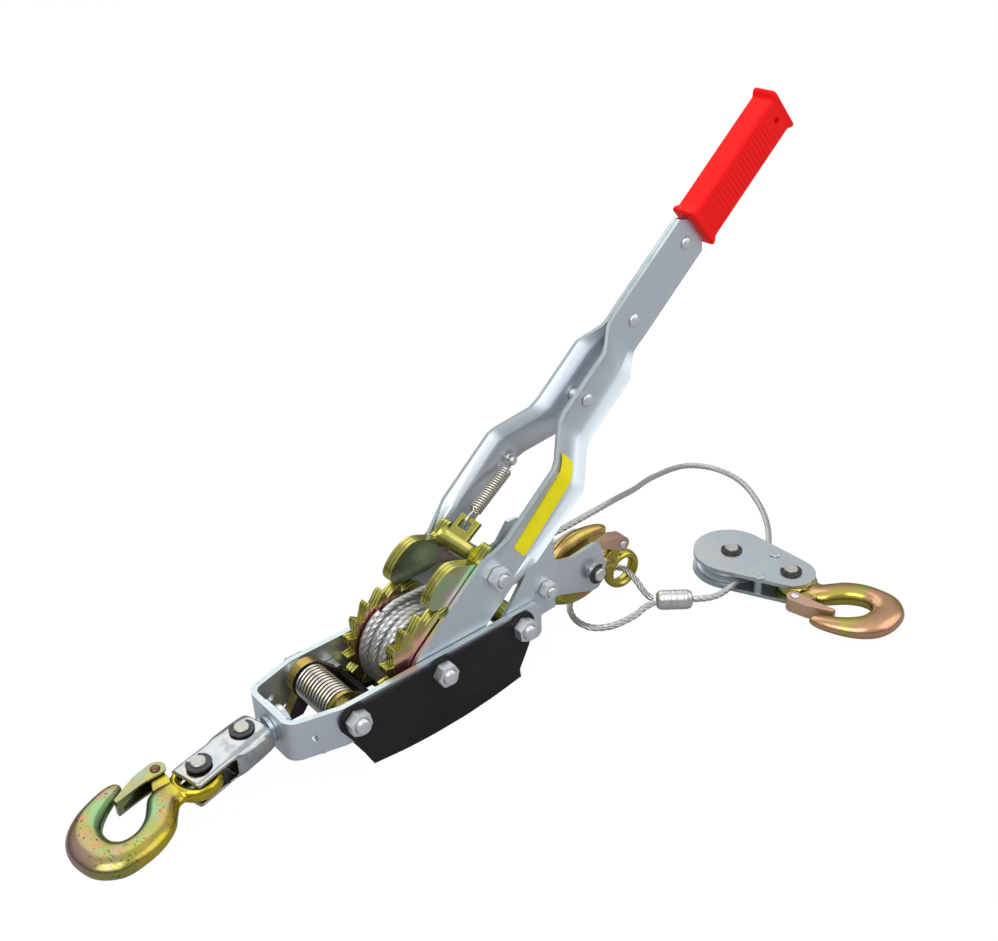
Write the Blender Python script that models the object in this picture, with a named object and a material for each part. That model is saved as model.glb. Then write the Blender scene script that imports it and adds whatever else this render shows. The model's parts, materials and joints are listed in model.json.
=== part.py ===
"""Come along winch: a hand cable puller with a ratchet drum, a long handle and a pulley block.

Everything is placed in the winch's own frame: the drum axle is the origin, +X points to the
rear (cable) end, -Y to the near side and +Z up. SHIFT then moves the whole winch, so that the
origin of the scene is the middle of its footprint on the floor.
"""

from collections.abc import Callable, Sequence
from math import atan2, copysign, cos, hypot, pi, radians, sin, sqrt

import bmesh
import bpy
from mathutils import Matrix, Vector
from mathutils.geometry import tessellate_polygon

MM = 0.001
GAP = 0.3 * MM                      # clearance between pieces that touch
SHIFT = Vector((-58.4, 2.3, 48.0)) * MM
FLOOR = -48.0 * MM                  # height of the floor below the drum axle

# Frame yoke: a flat strap bent to a U
FRAME_REAR = 90.0 * MM
FRAME_KINK = -76.0 * MM
FRAME_FRONT = -112.0 * MM
FRAME_HALF = 34.0 * MM
FRAME_WEB_HALF = 24.5 * MM
FRAME_THICK = 4.0 * MM
FRAME_TOP = 11.0 * MM
FRAME_BOTTOM = -18.5 * MM
FRAME_CORNER = 8.0 * MM
FRAME_END_ROUND = 5.0 * MM
BOLT_X = (-70.0 * MM, 0.0, 70.0 * MM)
SIDE_HOLE = (-96.0 * MM, -5.0 * MM, 2.4 * MM)

# Drum guard: a black plate outside each frame side and a cross web in front of the drum
GUARD_THICK = 2.0 * MM
GUARD_LOBE = 11.5 * MM

# Cross bolts and their nuts
BOLT_RADIUS = 5.0 * MM
HEX_FLATS = 15.0 * MM
HEAD_THICK = 6.2 * MM
NUT_THICK = 7.6 * MM
BOLT_PROUD = 3.2 * MM
CLIP_THICK = 1.1 * MM

# Drum and ratchet wheels
TEETH = 18
TIP_RADIUS = 40.0 * MM
ROOT_RADIUS = 33.5 * MM
TIP_ANGLE = 157.4
WHEEL_PLATE = 2.6 * MM
WHEEL_INNER = 17.0 * MM
HUB_RADIUS = 13.0 * MM
PACK_RADIUS = 33.0 * MM
PACK_HALF = 16.6 * MM
PACK_TURNS = 7

# Handle
HANDLE_ANGLE = 40.0
LEG_THICK = 3.0 * MM
LEG_OUTER = FRAME_HALF - FRAME_THICK - 2 * GAP
CORE_HALF = LEG_OUTER - LEG_THICK - 3 * GAP  # the drum core ends just inside the legs
LEG_END_RADIUS = 20.0 * MM
LEG_MIDDLE = 8.5 * MM
LEG_CLOSED = LEG_THICK + GAP / 2
LEG_TOP = 446.0 * MM
LEG_HALF = 18.5 * MM
LEG_BENDS = tuple(r * MM for r in (72, 96, 152, 158, 182, 190, 240, 258, 262))
LEG_CREASES = (11.5 * MM, 13.5 * MM)
TANG_HALF = 12.5 * MM
FLANGE_HEIGHT = 7.0 * MM
RIVET_ALONG = (209.0 * MM, 276.0 * MM, 344.0 * MM)
RIVET_RADIUS = 3.0 * MM
PAWL_ALONG = 71.9 * MM
GRIP_LOW = 357.0 * MM
GRIP_HIGH = 468.0 * MM
GRIP_RIBS = 17
GRIP_HOLE = 456.0 * MM

# Pawls
FINGER_INNER = 17.0 * MM
FINGER_OUTER = LEG_OUTER - LEG_THICK - 0.4 * MM
PAWL_HUB = 12.0 * MM
STOP_OUTER = 24.4 * MM
STOP_RING = 13.5 * MM
SPACER_RADIUS = 7.6 * MM
SLEEVE_RADIUS = 9.2 * MM

# Springs
TORSION_RADIUS = 11.2 * MM
TORSION_WIRE = 1.0 * MM
TORSION_TURNS = 10
PULL_RADIUS = 3.6 * MM
PULL_WIRE = 0.8 * MM
PULL_TURNS = 12
SCREW_AT = (115.2 * MM, 91.4 * MM)

# Tail bracket and tail pin
TAIL_WIDE = FRAME_HALF - FRAME_THICK - GAP
TAIL_NARROW = 13.0 * MM
TAIL_THICK = 3.0 * MM
TAIL_FLAT = 22.0 * MM
TAIL_BENDS = (88.0 * MM, 95.5 * MM, 114.0 * MM, 122.0 * MM)
TAIL_SPACER = 9.0 * MM
TAIL_BOLT = (105.0 * MM, 8.0 * MM)
TAIL_BOLT_RADIUS = 4.0 * MM
TAIL_FLATS = 12.6 * MM
TAIL_HEAD_THICK = 5.2 * MM
TAIL_NUT_THICK = 6.4 * MM
TAIL_PROUD = 2.2 * MM
TAIL_PIN = (161.0 * MM, -8.0 * MM)
TAIL_PIN_RADIUS = 5.0 * MM

# Front anchor
ANCHOR_Z = -5.0 * MM
LINK_PIN = (-131.0 * MM, -1.0 * MM)
HOOK_PIN = (-166.0 * MM, -10.0 * MM)
LINK_PIN_RADIUS = 5.0 * MM
LINK_SECTIONS = (  # in millimetres: along the link, half width, half height, squareness
    (-12.6, 13.6, 9.0, 0.6),
    (-11.4, 15.2, 10.6, 0.6),
    (6.0, 15.6, 10.8, 0.55),
    (12.0, 15.0, 10.5, 0.5),
    (20.0, 12.4, 9.6, 0.3),
    (46.6, 12.4, 9.6, 0.3),
    (48.0, 11.4, 9.0, 0.3),
)
LINK_SLOT = 6.3 * MM
STUD_RADIUS = 7.0 * MM
STUD_HEAD = 11.5 * MM
STUD_COLLAR = 9.5 * MM
WASHER_HALF = (12.5 * MM, 12.0 * MM)
WASHER_THICK = 3.0 * MM
TONGUE_RADIUS = 7.0 * MM
TONGUE_HALF = 6.0 * MM
PIN_FACE = 11.2 * MM                # from the anchor's middle height to the pin heads

# Hooks: every hook is the same casting, drawn about the middle of its eye
EYE_RING = 13.0 * MM
EYE_SECTION = (3.2 * MM, 5.0 * MM)
HOOK_SECTIONS = (  # round the casting from the eye: inner side, outer side, half thickness
    ((-14.0, 9.5), (-9.0, -11.0), 4.2),
    ((-19.5, 8.6), (-16.8, -11.4), 4.9),
    ((-25.6, 7.2), (-22.0, -18.0), 6.2),
    ((-31.5, 3.0), (-28.1, -26.8), 7.0),
    ((-39.2, -9.6), (-38.5, -33.8), 7.4),
    ((-47.2, -16.6), (-51.5, -37.8), 7.5),
    ((-55.6, -17.8), (-66.5, -38.4), 7.6),
    ((-60.6, -13.6), (-79.0, -29.6), 7.6),
    ((-62.2, -7.0), (-84.2, -15.4), 7.6),
    ((-61.4, -0.6), (-84.0, -1.6), 7.3),
    ((-58.4, 4.8), (-79.0, 9.6), 6.8),
    ((-54.0, 9.8), (-69.4, 19.4), 6.0),
    ((-48.2, 14.8), (-57.6, 26.0), 5.2),
    ((-42.8, 18.8), (-48.0, 29.6), 4.4),
    ((-38.4, 22.8), (-42.2, 30.4), 3.2),
    ((-37.4, 25.6), (-39.2, 29.8), 1.6),
)
ANCHOR_EYE = (-168.6 * MM, -9.1 * MM, ANCHOR_Z - (LINK_SLOT - EYE_SECTION[1] - GAP))
ANCHOR_FACING = ((1.0, 0.0, 0.0), (0.0, 0.0, 1.0))      # from bowl to eye, flat side
CABLE_HOOK_EYE = (202.4 * MM, -0.8 * MM, -31.4 * MM)
CABLE_FACING = ((0.835, -0.035, -0.54), (-0.045, -0.999, 0.0))
PULLEY_EYE = (295.2 * MM, -99.2 * MM, -39.5 * MM)
PULLEY_FACING = ((0.07, 0.9975, 0.0), (0.0, 0.0, 1.0))
LATCH_PIVOT = (-16.7 * MM, 20.2 * MM)
LATCH_BORE = 2.3 * MM
LATCH_HALF = 5.6 * MM
LUG_HALF = 3.6 * MM

# Pulley block
BLOCK_TOP = -31.0 * MM
BLOCK_THICK = 3.0 * MM
SHEAVE_PIN = (283.1 * MM, -44.1 * MM)
BLOCK_HOOK_PIN = (293.4 * MM, -94.8 * MM)
BLOCK_BIG = 30.0 * MM
BLOCK_SMALL = 19.0 * MM
BLOCK_POSTS = ((303.6 * MM, -71.4 * MM), (271.2 * MM, -81.9 * MM))
SHEAVE_RADIUS = 26.5 * MM
GROOVE_RADIUS = 20.4 * MM
BLOCK_PIN_RADIUS = 4.5 * MM

# Cable
CABLE_RADIUS = 2.5 * MM
RUN_POINTS = 78
EYE_POINTS = 44
FERRULE_RADIUS = 7.4 * MM
FERRULE_ENDS = (  # in millimetres
    (221.4, -58.6, -40.2), (200.6, -40.8, -40.2),
)
RUN_ROUTE = (  # in millimetres, from the drum to the ferrule
    (-14.2, 6.0, 32.6), (-7.8, 6.0, 34.85), (0.0, 6.0, 35.65), (22.0, 6.0, 35.0), (60.0, 6.0, 31.8),
    (100.0, 6.0, 28.6), (140.0, 6.2, 26.4), (172.0, 7.4, 26.0), (201.0, 12.5, 22.5),
    (222.0, 22.0, 12.5), (258.0, 40.0, -3.0), (292.0, 57.0, -14.0), (322.0, 69.0, -24.0),
    (346.0, 76.5, -32.0), (368.0, 79.0, -39.0), (385.0, 70.0, -43.6), (391.0, 52.0, -45.2),
    (387.0, 30.0, -45.2), (374.5, 5.5, -45.0), (357.0, -18.0, -43.4), (337.0, -38.0, -40.6),
    (318.0, -53.5, -39.5), (300.5, -64.4, -39.5), (283.1, -67.6, -39.5), (268.0, -67.4, -39.5),
    (254.0, -68.6, -39.8), (241.0, -68.8, -40.1), (231.0, -65.6, -40.2), (221.9, -59.1, -40.2),
)
EYE_ROUTE = (  # in millimetres, from the ferrule through the hook eye and back
    (201.4, -37.6, -40.2), (199.6, -34.6, -39.8), (200.4, -27.0, -38.0), (203.0, -14.0, -33.6),
    (203.0, -2.5, -31.2), (198.0, 8.0, -34.4), (185.0, 13.4, -41.0), (168.0, 13.0, -45.0),
    (152.0, 4.0, -45.4), (143.5, -12.0, -45.4), (146.0, -27.0, -45.4), (158.0, -36.5, -44.8),
    (176.0, -40.8, -42.8), (189.0, -40.6, -41.0), (197.4, -41.8, -40.2),
)

ZINC = ("zinc", (0.66, 0.71, 0.76), 0.9, 0.32)
BRIGHT = ("bright_zinc", (0.75, 0.76, 0.77), 0.95, 0.25)
GOLD = ("gold_zinc", (0.72, 0.58, 0.25), 0.9, 0.3)
GREEN = ("green_zinc", (0.60, 0.58, 0.22), 0.9, 0.3)
COPPER = ("copper_zinc", (0.66, 0.42, 0.30), 0.9, 0.35)
BLACK = ("black_steel", (0.015, 0.015, 0.017), 0.2, 0.5)
RED = ("red_grip", (0.80, 0.02, 0.03), 0.0, 0.35)
CABLE = ("cable_steel", (0.55, 0.55, 0.54), 0.85, 0.4)
ALLOY = ("alloy", (0.70, 0.70, 0.70), 0.9, 0.4)

Point = tuple[float, float]
Solid = tuple[list[Vector], list[list[int]]]


def mm(*points: Sequence[float]) -> list[tuple[float, ...]]:
    """Turns points in millimetres into metres."""
    return [tuple(value * MM for value in point) for point in points]


def arc(centre: Point, radius: float, start: float, end: float, steps: int) -> list[Point]:
    """Points along a circular arc between two angles in degrees."""
    angles = [radians(start + (end - start) * i / steps) for i in range(steps + 1)]
    return [(centre[0] + radius * cos(a), centre[1] + radius * sin(a)) for a in angles]


def circle(centre: Point, radius: float, steps: int) -> list[Point]:
    """A closed circle of distinct points."""
    return arc(centre, radius, 0.0, 360.0, steps)[:-1]


def fillet(path: Sequence[Point], radius: float, steps: int) -> list[Point]:
    """Rounds the inner corners of an open path."""
    out = [path[0]]
    for before, corner, after in zip(path, path[1:], path[2:]):
        here = Vector(corner)
        back = (Vector(before) - here).normalized()
        ahead = (Vector(after) - here).normalized()
        turn = back.angle(ahead) / 2
        reach = radius * cos(turn) / sin(turn)
        centre = here + (back + ahead).normalized() * (radius / sin(turn))
        first = here + back * reach - centre
        last = here + ahead * reach - centre
        for i in range(steps + 1):
            spoke = first.lerp(last, i / steps).normalized() * radius
            out.append(tuple(centre + spoke))
    return [*out, path[-1]]


def strap(path: Sequence[Point], thickness: float) -> list[Point]:
    """The closed outline of a strap of even thickness along an open path."""
    points = [Vector(point) for point in path]
    runs = [(after - before).normalized() for before, after in zip(points, points[1:])]
    left: list[Point] = []
    right: list[Point] = []
    for point, back, ahead in zip(points, [runs[0], *runs], [*runs, runs[-1]]):
        tangent = (back + ahead).normalized()
        normal = Vector((-tangent.y, tangent.x))
        reach = thickness / 2 / max(tangent.dot(ahead), 0.5)
        left.append(tuple(point + normal * reach))
        right.append(tuple(point - normal * reach))
    return left + right[::-1]


def spline(points: Sequence[Sequence[float]], count: int) -> list[Vector]:
    """Evenly spread points on a smooth curve through the given ones."""
    knots = [Vector(p).to_3d() for p in points]
    first = knots[0] * 2 - knots[1]
    last = knots[-1] * 2 - knots[-2]
    knots = [first, *knots, last]
    dense: list[Vector] = []
    for a, b, c, d in zip(knots, knots[1:], knots[2:], knots[3:]):
        for i in range(24):
            t = i / 24
            dense.append((b * 2 + (c - a) * t + (a * 2 - b * 5 + c * 4 - d) * t * t
                          + (b * 3 - a - c * 3 + d) * t ** 3) / 2)
    dense.append(knots[-2])
    length = [0.0]
    for a, b in zip(dense, dense[1:]):
        length.append(length[-1] + (b - a).length)
    out: list[Vector] = []
    seat = 0
    for i in range(count):
        goal = length[-1] * i / (count - 1)
        while seat < len(dense) - 2 and length[seat + 1] < goal:
            seat += 1
        span = max(length[seat + 1] - length[seat], 1e-9)
        out.append(dense[seat].lerp(dense[seat + 1], min((goal - length[seat]) / span, 1.0)))
    return out


def lift(axis: str, u: float, v: float, along: float) -> Vector:
    """Places a drawing point (u, v) at a distance along the axis it is drawn across."""
    if axis == "X":
        return Vector((along, u, v))
    if axis == "Y":
        return Vector((u, along, v))
    return Vector((u, v, along))


def add(name: str, solid: Solid) -> bpy.types.Object:
    """Makes an object from vertices and faces, with its faces turned outward."""
    mesh = bpy.data.meshes.new(name)
    obj = bpy.data.objects.new(name, mesh)
    bpy.context.scene.collection.objects.link(obj)
    bm = bmesh.new()
    corners = [bm.verts.new(v) for v in solid[0]]
    for face in solid[1]:
        bm.faces.new([corners[i] for i in face])
    bmesh.ops.recalc_face_normals(bm, faces=bm.faces)
    bm.to_mesh(mesh)
    bm.free()
    return obj


def prism(outline: Sequence[Point], low: float, high: float, axis: str = "Y",
          holes: Sequence[Sequence[Point]] = ()) -> Solid:
    """A flat plate between two heights, with holes right through it."""
    loops = [list(outline), *[list(hole) for hole in holes]]
    flat = [point for loop in loops for point in loop]
    caps = tessellate_polygon([[Vector((u, v, 0.0)) for u, v in loop] for loop in loops])
    count = len(flat)
    verts = [lift(axis, u, v, low) for u, v in flat] + [lift(axis, u, v, high) for u, v in flat]
    faces = [list(cap) for cap in caps] + [[i + count for i in cap] for cap in caps]
    start = 0
    for loop in loops:
        for i in range(len(loop)):
            here, ahead = start + i, start + (i + 1) % len(loop)
            faces.append([here, ahead, ahead + count, here + count])
        start += len(loop)
    return verts, faces


def loft(rings: Sequence[Sequence[Vector]], closed: bool = False) -> Solid:
    """Joins equal rings into a skin, with end caps unless it closes on itself."""
    size = len(rings[0])
    verts = [Vector(v) for ring in rings for v in ring]
    faces: list[list[int]] = []
    last = len(rings) if closed else len(rings) - 1
    for r in range(last):
        near, far = r * size, (r + 1) % len(rings) * size
        for i in range(size):
            j = (i + 1) % size
            faces.append([near + i, near + j, far + j, far + i])
    if not closed:
        faces.append(list(range(size)))
        faces.append([(len(rings) - 1) * size + i for i in range(size)])
    return verts, faces


def turned(profile: Sequence[Point], axis: str, centre: Point, steps: int,
           ring: bool = False) -> Solid:
    """Turns (radius, along) points about an axis; a ring has a bore and closes on itself."""
    rings = [[lift(axis, u, v, along) for u, v in circle(centre, radius, steps)]
             for radius, along in profile]
    return loft(rings, closed=ring)


def pin(radius: float, low: float, high: float, axis: str, centre: Point,
        chamfer: float = 0.8 * MM, steps: int = 16) -> Solid:
    """A round pin with chamfered ends."""
    profile = [(radius - chamfer, low), (radius, low + chamfer),
               (radius, high - chamfer), (radius - chamfer, high)]
    return turned(profile, axis, centre, steps)


def oval(half: float, high: float, power: float, steps: int, shift: float = 0.5) -> list[Point]:
    """A rounded rectangle about zero; a lower power gives squarer corners."""
    out: list[Point] = []
    for i in range(steps):
        c, s = cos(2 * pi * (i + shift) / steps), sin(2 * pi * (i + shift) / steps)
        out.append((half * copysign(abs(c) ** power, c), high * copysign(abs(s) ** power, s)))
    return out


def hexagon(centre: Point, flats: float) -> list[Point]:
    """A hexagon drawn with 18 points, so that it joins an 18-point circle."""
    out: list[Point] = []
    for i in range(18):
        angle = radians(20.0 * i)
        reach = flats / 2 / cos((angle % (pi / 3)) - pi / 6)
        out.append((centre[0] + reach * cos(angle), centre[1] + reach * sin(angle)))
    return out


def wire(points: Sequence[Vector], radius: float, sides: int) -> Solid:
    """A round wire along a 3-D path."""
    rings: list[list[Vector]] = []
    side = None
    for i, point in enumerate(points):
        ahead = points[min(i + 1, len(points) - 1)] - points[max(i - 1, 0)]
        tangent = ahead.normalized()
        if side is None:
            side = tangent.orthogonal().normalized()
        side = (side - tangent * side.dot(tangent)).normalized()
        other = tangent.cross(side)
        rings.append([point + side * u + other * v for u, v in circle((0.0, 0.0), radius, sides)])
    return loft(rings)


def combine(base: bpy.types.Object, operation: str, *tools: Solid) -> bpy.types.Object:
    """Joins solids to a base or cuts them from it, one exact Boolean at a time."""
    for solid in tools:
        tool = add("tool", solid)
        modifier = base.modifiers.new("combine", "BOOLEAN")
        modifier.operation = operation
        modifier.solver = "EXACT"
        modifier.object = tool
        graph = bpy.context.evaluated_depsgraph_get()
        result = bpy.data.meshes.new_from_object(base.evaluated_get(graph))
        base.modifiers.clear()
        spent = base.data
        base.data = result
        bpy.data.meshes.remove(spent)
        spent = tool.data
        bpy.data.objects.remove(tool)
        bpy.data.meshes.remove(spent)
    return base


def join(base: bpy.types.Object, *tools: Solid) -> bpy.types.Object:
    """Joins solids to a base."""
    return combine(base, "UNION", *tools)


def cut(base: bpy.types.Object, *tools: Solid) -> bpy.types.Object:
    """Cuts solids from a base."""
    return combine(base, "DIFFERENCE", *tools)


def box(low: Sequence[float], high: Sequence[float]) -> Solid:
    """A block between two corners."""
    outline = [(low[0], low[1]), (high[0], low[1]), (high[0], high[1]), (low[0], high[1])]
    return prism(outline, low[2], high[2], "Z")


def bend(obj: bpy.types.Object, cuts: Sequence[tuple[int, float]],
         offset: Callable[[Vector], float]) -> None:
    """Creases a plate along lines of constant X or Z, then shifts every vertex along Y.

    Lines of constant Z only crease the part of the plate between the first and last line of X.
    """
    span = [place for axis, place in cuts if axis == 0]
    bm = bmesh.new()
    bm.from_mesh(obj.data)
    for axis, place in cuts:
        normal = Vector([1.0 if i == axis else 0.0 for i in range(3)])
        faces = [f for f in bm.faces
                 if axis == 0 or span[0] < f.calc_center_median().x < span[-1]]
        edges = {edge for face in faces for edge in face.edges}
        verts = {vert for face in faces for vert in face.verts}
        bmesh.ops.bisect_plane(bm, geom=[*verts, *edges, *faces], dist=1e-7,
                               plane_co=normal * place, plane_no=normal)
    for vert in bm.verts:
        vert.co.y += offset(vert.co)
    bmesh.ops.triangulate(bm, faces=bm.faces)
    bm.to_mesh(obj.data)
    bm.free()


def finish(obj: bpy.types.Object, look: tuple, origin: Sequence[float] = (0.0, 0.0, 0.0)) -> None:
    """Puts the object's origin on its joint and gives it a material of its own."""
    pivot = Vector(origin)
    obj.data.transform(Matrix.Translation(-pivot))
    obj.location = pivot + SHIFT
    paint(obj, look)


def paint(obj: bpy.types.Object, look: tuple) -> None:
    """Gives the object its own plain material."""
    label, colour, metallic, roughness = look
    material = bpy.data.materials.new(f"{obj.name}_{label}")
    material.use_nodes = True
    shader = material.node_tree.nodes["Principled BSDF"]
    shader.inputs["Base Color"].default_value = (*colour, 1.0)
    shader.inputs["Metallic"].default_value = metallic
    shader.inputs["Roughness"].default_value = roughness
    material.diffuse_color = (*colour, 1.0)
    obj.data.materials.append(material)


def blend(value: float, table: Sequence[Point]) -> float:
    """Reads a value from a table of (place, value) rows, with straight lines between them."""
    if value <= table[0][0]:
        return table[0][1]
    for (x0, y0), (x1, y1) in zip(table, table[1:]):
        if value <= x1:
            return y0 + (y1 - y0) * (value - x0) / (x1 - x0)
    return table[-1][1]


# ---------------------------------------------------------------- frame

def frame_yoke() -> None:
    """The bent strap that carries every cross bolt."""
    half = FRAME_HALF - FRAME_THICK / 2
    web = FRAME_FRONT + FRAME_THICK / 2
    side = [(FRAME_REAR, half), (FRAME_KINK, half), (web, FRAME_WEB_HALF - FRAME_THICK / 2)]
    path = fillet(side + [(x, -y) for x, y in side[::-1]], FRAME_CORNER, 5)
    obj = add("frame_yoke", prism(strap(path, FRAME_THICK), FRAME_BOTTOM - MM, FRAME_TOP + MM, "Z"))
    rear = FRAME_REAR - FRAME_END_ROUND
    profile = [(FRAME_FRONT - MM, FRAME_BOTTOM),
               *arc((rear, FRAME_BOTTOM + FRAME_END_ROUND), FRAME_END_ROUND, -90, 0, 4),
               *arc((rear, FRAME_TOP - FRAME_END_ROUND), FRAME_END_ROUND, 0, 90, 4),
               (FRAME_FRONT - MM, FRAME_TOP)]
    reach = FRAME_HALF + 5 * MM
    combine(obj, "INTERSECT", prism(profile, -reach, reach))
    cut(obj, *[prism(circle((x, 0.0), BOLT_RADIUS + GAP, 16), -reach, reach) for x in BOLT_X])
    cut(obj, prism(circle(SIDE_HOLE[:2], SIDE_HOLE[2], 10), -reach, reach))
    stud = circle((0.0, ANCHOR_Z), STUD_RADIUS + GAP, 18)
    cut(obj, prism(stud, FRAME_FRONT - 5 * MM, FRAME_FRONT + 9 * MM, "X"))
    finish(obj, ZINC)


def guard_outline() -> list[Point]:
    """The side view of the guard plate, from its front lower corner clockwise."""
    lobe = 46.2
    front, middle, rear = BOLT_X
    outline = mm((-59.5, -43.4), (-72.8, -16.2))
    outline += arc((front, 0.0), GUARD_LOBE, 200, lobe, 12)
    outline += arc((middle, 0.0), GUARD_LOBE, 180 - lobe, lobe, 8)
    outline += arc((rear, 0.0), GUARD_LOBE, 180 - lobe, -38, 12)
    outline += mm((76.0, -18.5), (66.9, -35.2), (67.6, -42.4), (64.7, -42.8), (52.5, -44.6),
                  (39.7, -46.2), (22.0, -47.6), (14.8, -48.0), (-10.0, -48.0), (-22.0, -47.5),
                  (-34.6, -46.5))
    return outline


def drum_guard() -> None:
    """Two black side plates and the cross web that joins them in front of the drum."""
    inner = FRAME_HALF + GAP
    outer = inner + GUARD_THICK
    outline = guard_outline()
    obj = add("drum_guard", prism(outline, -outer, -inner))
    web = mm((-58.9, -43.1), (-70.4, -19.4), (-68.4, -18.8), (-57.0, -42.3))
    middle = inner + GUARD_THICK / 2
    join(obj, prism(web, -middle, middle))
    join(obj, prism(outline, inner, outer))
    reach = outer + MM
    cut(obj, *[prism(circle((x, 0.0), BOLT_RADIUS + GAP, 16), -reach, reach) for x in BOLT_X])
    finish(obj, BLACK)


def bolt(name: str, centre: Point, head: float, end: float, radius: float, flats: float,
         thick: float) -> None:
    """A hexagon bolt along Y, its head at the far side and its end at the near side."""
    face = [(u, v) for u, v in circle(centre, flats / 2 * 0.96, 18)]
    rings = [[lift("Y", u, v, head + thick) for u, v in face],
             [lift("Y", u, v, head + thick - 0.9 * MM) for u, v in hexagon(centre, flats)],
             [lift("Y", u, v, head) for u, v in hexagon(centre, flats)],
             [lift("Y", u, v, head) for u, v in circle(centre, radius, 18)],
             [lift("Y", u, v, end + 1.0 * MM) for u, v in circle(centre, radius, 18)],
             [lift("Y", u, v, end) for u, v in circle(centre, radius - 1.0 * MM, 18)]]
    finish(add(name, loft(rings)), BRIGHT, (centre[0], 0.0, centre[1]))


def nut(name: str, centre: Point, near: float, thick: float, radius: float, flats: float) -> None:
    """A hexagon nut along Y with its chamfered face at the near side."""
    low = near - thick
    rings = [[lift("Y", u, v, near) for u, v in circle(centre, radius + GAP, 18)],
             [lift("Y", u, v, near) for u, v in hexagon(centre, flats)],
             [lift("Y", u, v, low + 0.9 * MM) for u, v in hexagon(centre, flats)],
             [lift("Y", u, v, low) for u, v in circle(centre, flats / 2 * 0.96, 18)],
             [lift("Y", u, v, low) for u, v in circle(centre, radius + GAP, 18)]]
    finish(add(name, loft(rings, closed=True)), BRIGHT, (centre[0], 0.0, centre[1]))


def cross_bolts() -> None:
    """The three bolts through the frame, with their nuts, and the two spacer tubes."""
    face = FRAME_HALF + GUARD_THICK + 2 * GAP
    for name, x in zip(("front", "axle", "rear"), BOLT_X):
        end = -(face + NUT_THICK + BOLT_PROUD)
        bolt(f"{name}_bolt", (x, 0.0), face, end, BOLT_RADIUS, HEX_FLATS, HEAD_THICK)
        nut(f"{name}_nut", (x, 0.0), -face, NUT_THICK, BOLT_RADIUS, HEX_FLATS)
    inner = FRAME_HALF - FRAME_THICK - 3 * GAP
    front = [(BOLT_RADIUS + GAP, -inner), (SPACER_RADIUS, -inner), (SPACER_RADIUS, inner),
             (BOLT_RADIUS + GAP, inner)]
    spacer = add("front_spacer", turned(front, "Y", (BOLT_X[0], 0.0), 20, ring=True))
    finish(spacer, BRIGHT, (BOLT_X[0], 0.0, 0.0))
    between = TAIL_WIDE - TAIL_THICK - GAP
    rear = [(BOLT_RADIUS + GAP, -between), (TAIL_SPACER, -between), (TAIL_SPACER, between),
            (BOLT_RADIUS + GAP, between)]
    spacer = add("rear_spacer", turned(rear, "Y", (BOLT_X[2], 0.0), 20, ring=True))
    finish(spacer, GREEN, (BOLT_X[2], 0.0, 0.0))


# ---------------------------------------------------------------- drum

def tooth_outline() -> list[Point]:
    """The ratchet wheel's outline: steep faces look towards falling angles."""
    form = ((0.0, TIP_RADIUS), (4.5, TIP_RADIUS - 0.6 * MM), (18.3, ROOT_RADIUS))
    return [(radius * cos(radians(TIP_ANGLE + 360 / TEETH * k + step)),
             radius * sin(radians(TIP_ANGLE + 360 / TEETH * k + step)))
            for k in range(TEETH) for step, radius in form]


def drum() -> None:
    """The drum core, two wheels of three plates each and the wound cable."""
    core = [(BOLT_RADIUS + GAP, -CORE_HALF), (HUB_RADIUS, -CORE_HALF), (HUB_RADIUS, CORE_HALF),
            (BOLT_RADIUS + GAP, CORE_HALF)]
    finish(add("drum_core", turned(core, "Y", (0.0, 0.0), 24, ring=True)), BRIGHT)
    bore = circle((0.0, 0.0), HUB_RADIUS + GAP, 18)
    for side, sign in (("near", -1), ("far", 1)):
        for k in range(3):
            low = WHEEL_INNER + k * (WHEEL_PLATE + GAP)
            ends = sorted((sign * low, sign * (low + WHEEL_PLATE)))
            plate = prism(tooth_outline(), ends[0], ends[1], holes=[bore])
            finish(add(f"ratchet_{side}_{'abc'[k]}", plate), GREEN)
    pitch = 2 * PACK_HALF / PACK_TURNS
    profile = [(HUB_RADIUS + GAP, PACK_HALF), (HUB_RADIUS + GAP, -PACK_HALF)]
    for turn in range(PACK_TURNS):
        middle = -PACK_HALF + pitch * (turn + 0.5)
        profile += [(PACK_RADIUS - pitch / 2 * (1 - cos(a)), middle + pitch / 2 * sin(a) * 0.98)
                    for a in (radians(-68), 0.0, radians(68))]
    finish(add("wound_cable", turned(profile, "Y", (0.0, 0.0), 24, ring=True)), CABLE)


# ---------------------------------------------------------------- handle

def along_handle(r: float, w: float, y: float) -> Vector:
    """A point r along the handle, w across it (forward and up) and y sideways."""
    a = radians(HANDLE_ANGLE)
    return Vector((r * cos(a) - w * sin(a), y, r * sin(a) + w * cos(a)))


def leg_offset(point: Vector) -> float:
    """How far outward the leg's outer face stands at a place on its flat drawing."""
    outer = blend(point.x, [(LEG_BENDS[2], LEG_OUTER), (LEG_BENDS[3], LEG_OUTER - 2.4 * MM),
                            (LEG_BENDS[4], LEG_MIDDLE + 1.7 * MM), (LEG_BENDS[5], LEG_MIDDLE),
                            (LEG_BENDS[6], LEG_MIDDLE), (LEG_BENDS[7], LEG_CLOSED)])
    flare = blend(point.x, [(LEG_BENDS[0], 0.0), (LEG_BENDS[1], 1.0), (LEG_BENDS[6], 1.0),
                            (LEG_BENDS[8], 0.0)])
    rim = blend(abs(point.z), [(LEG_CREASES[0], 0.0), (LEG_CREASES[1], 0.2), (LEG_HALF, 1.0)])
    return outer + FLANGE_HEIGHT * flare * rim


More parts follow.
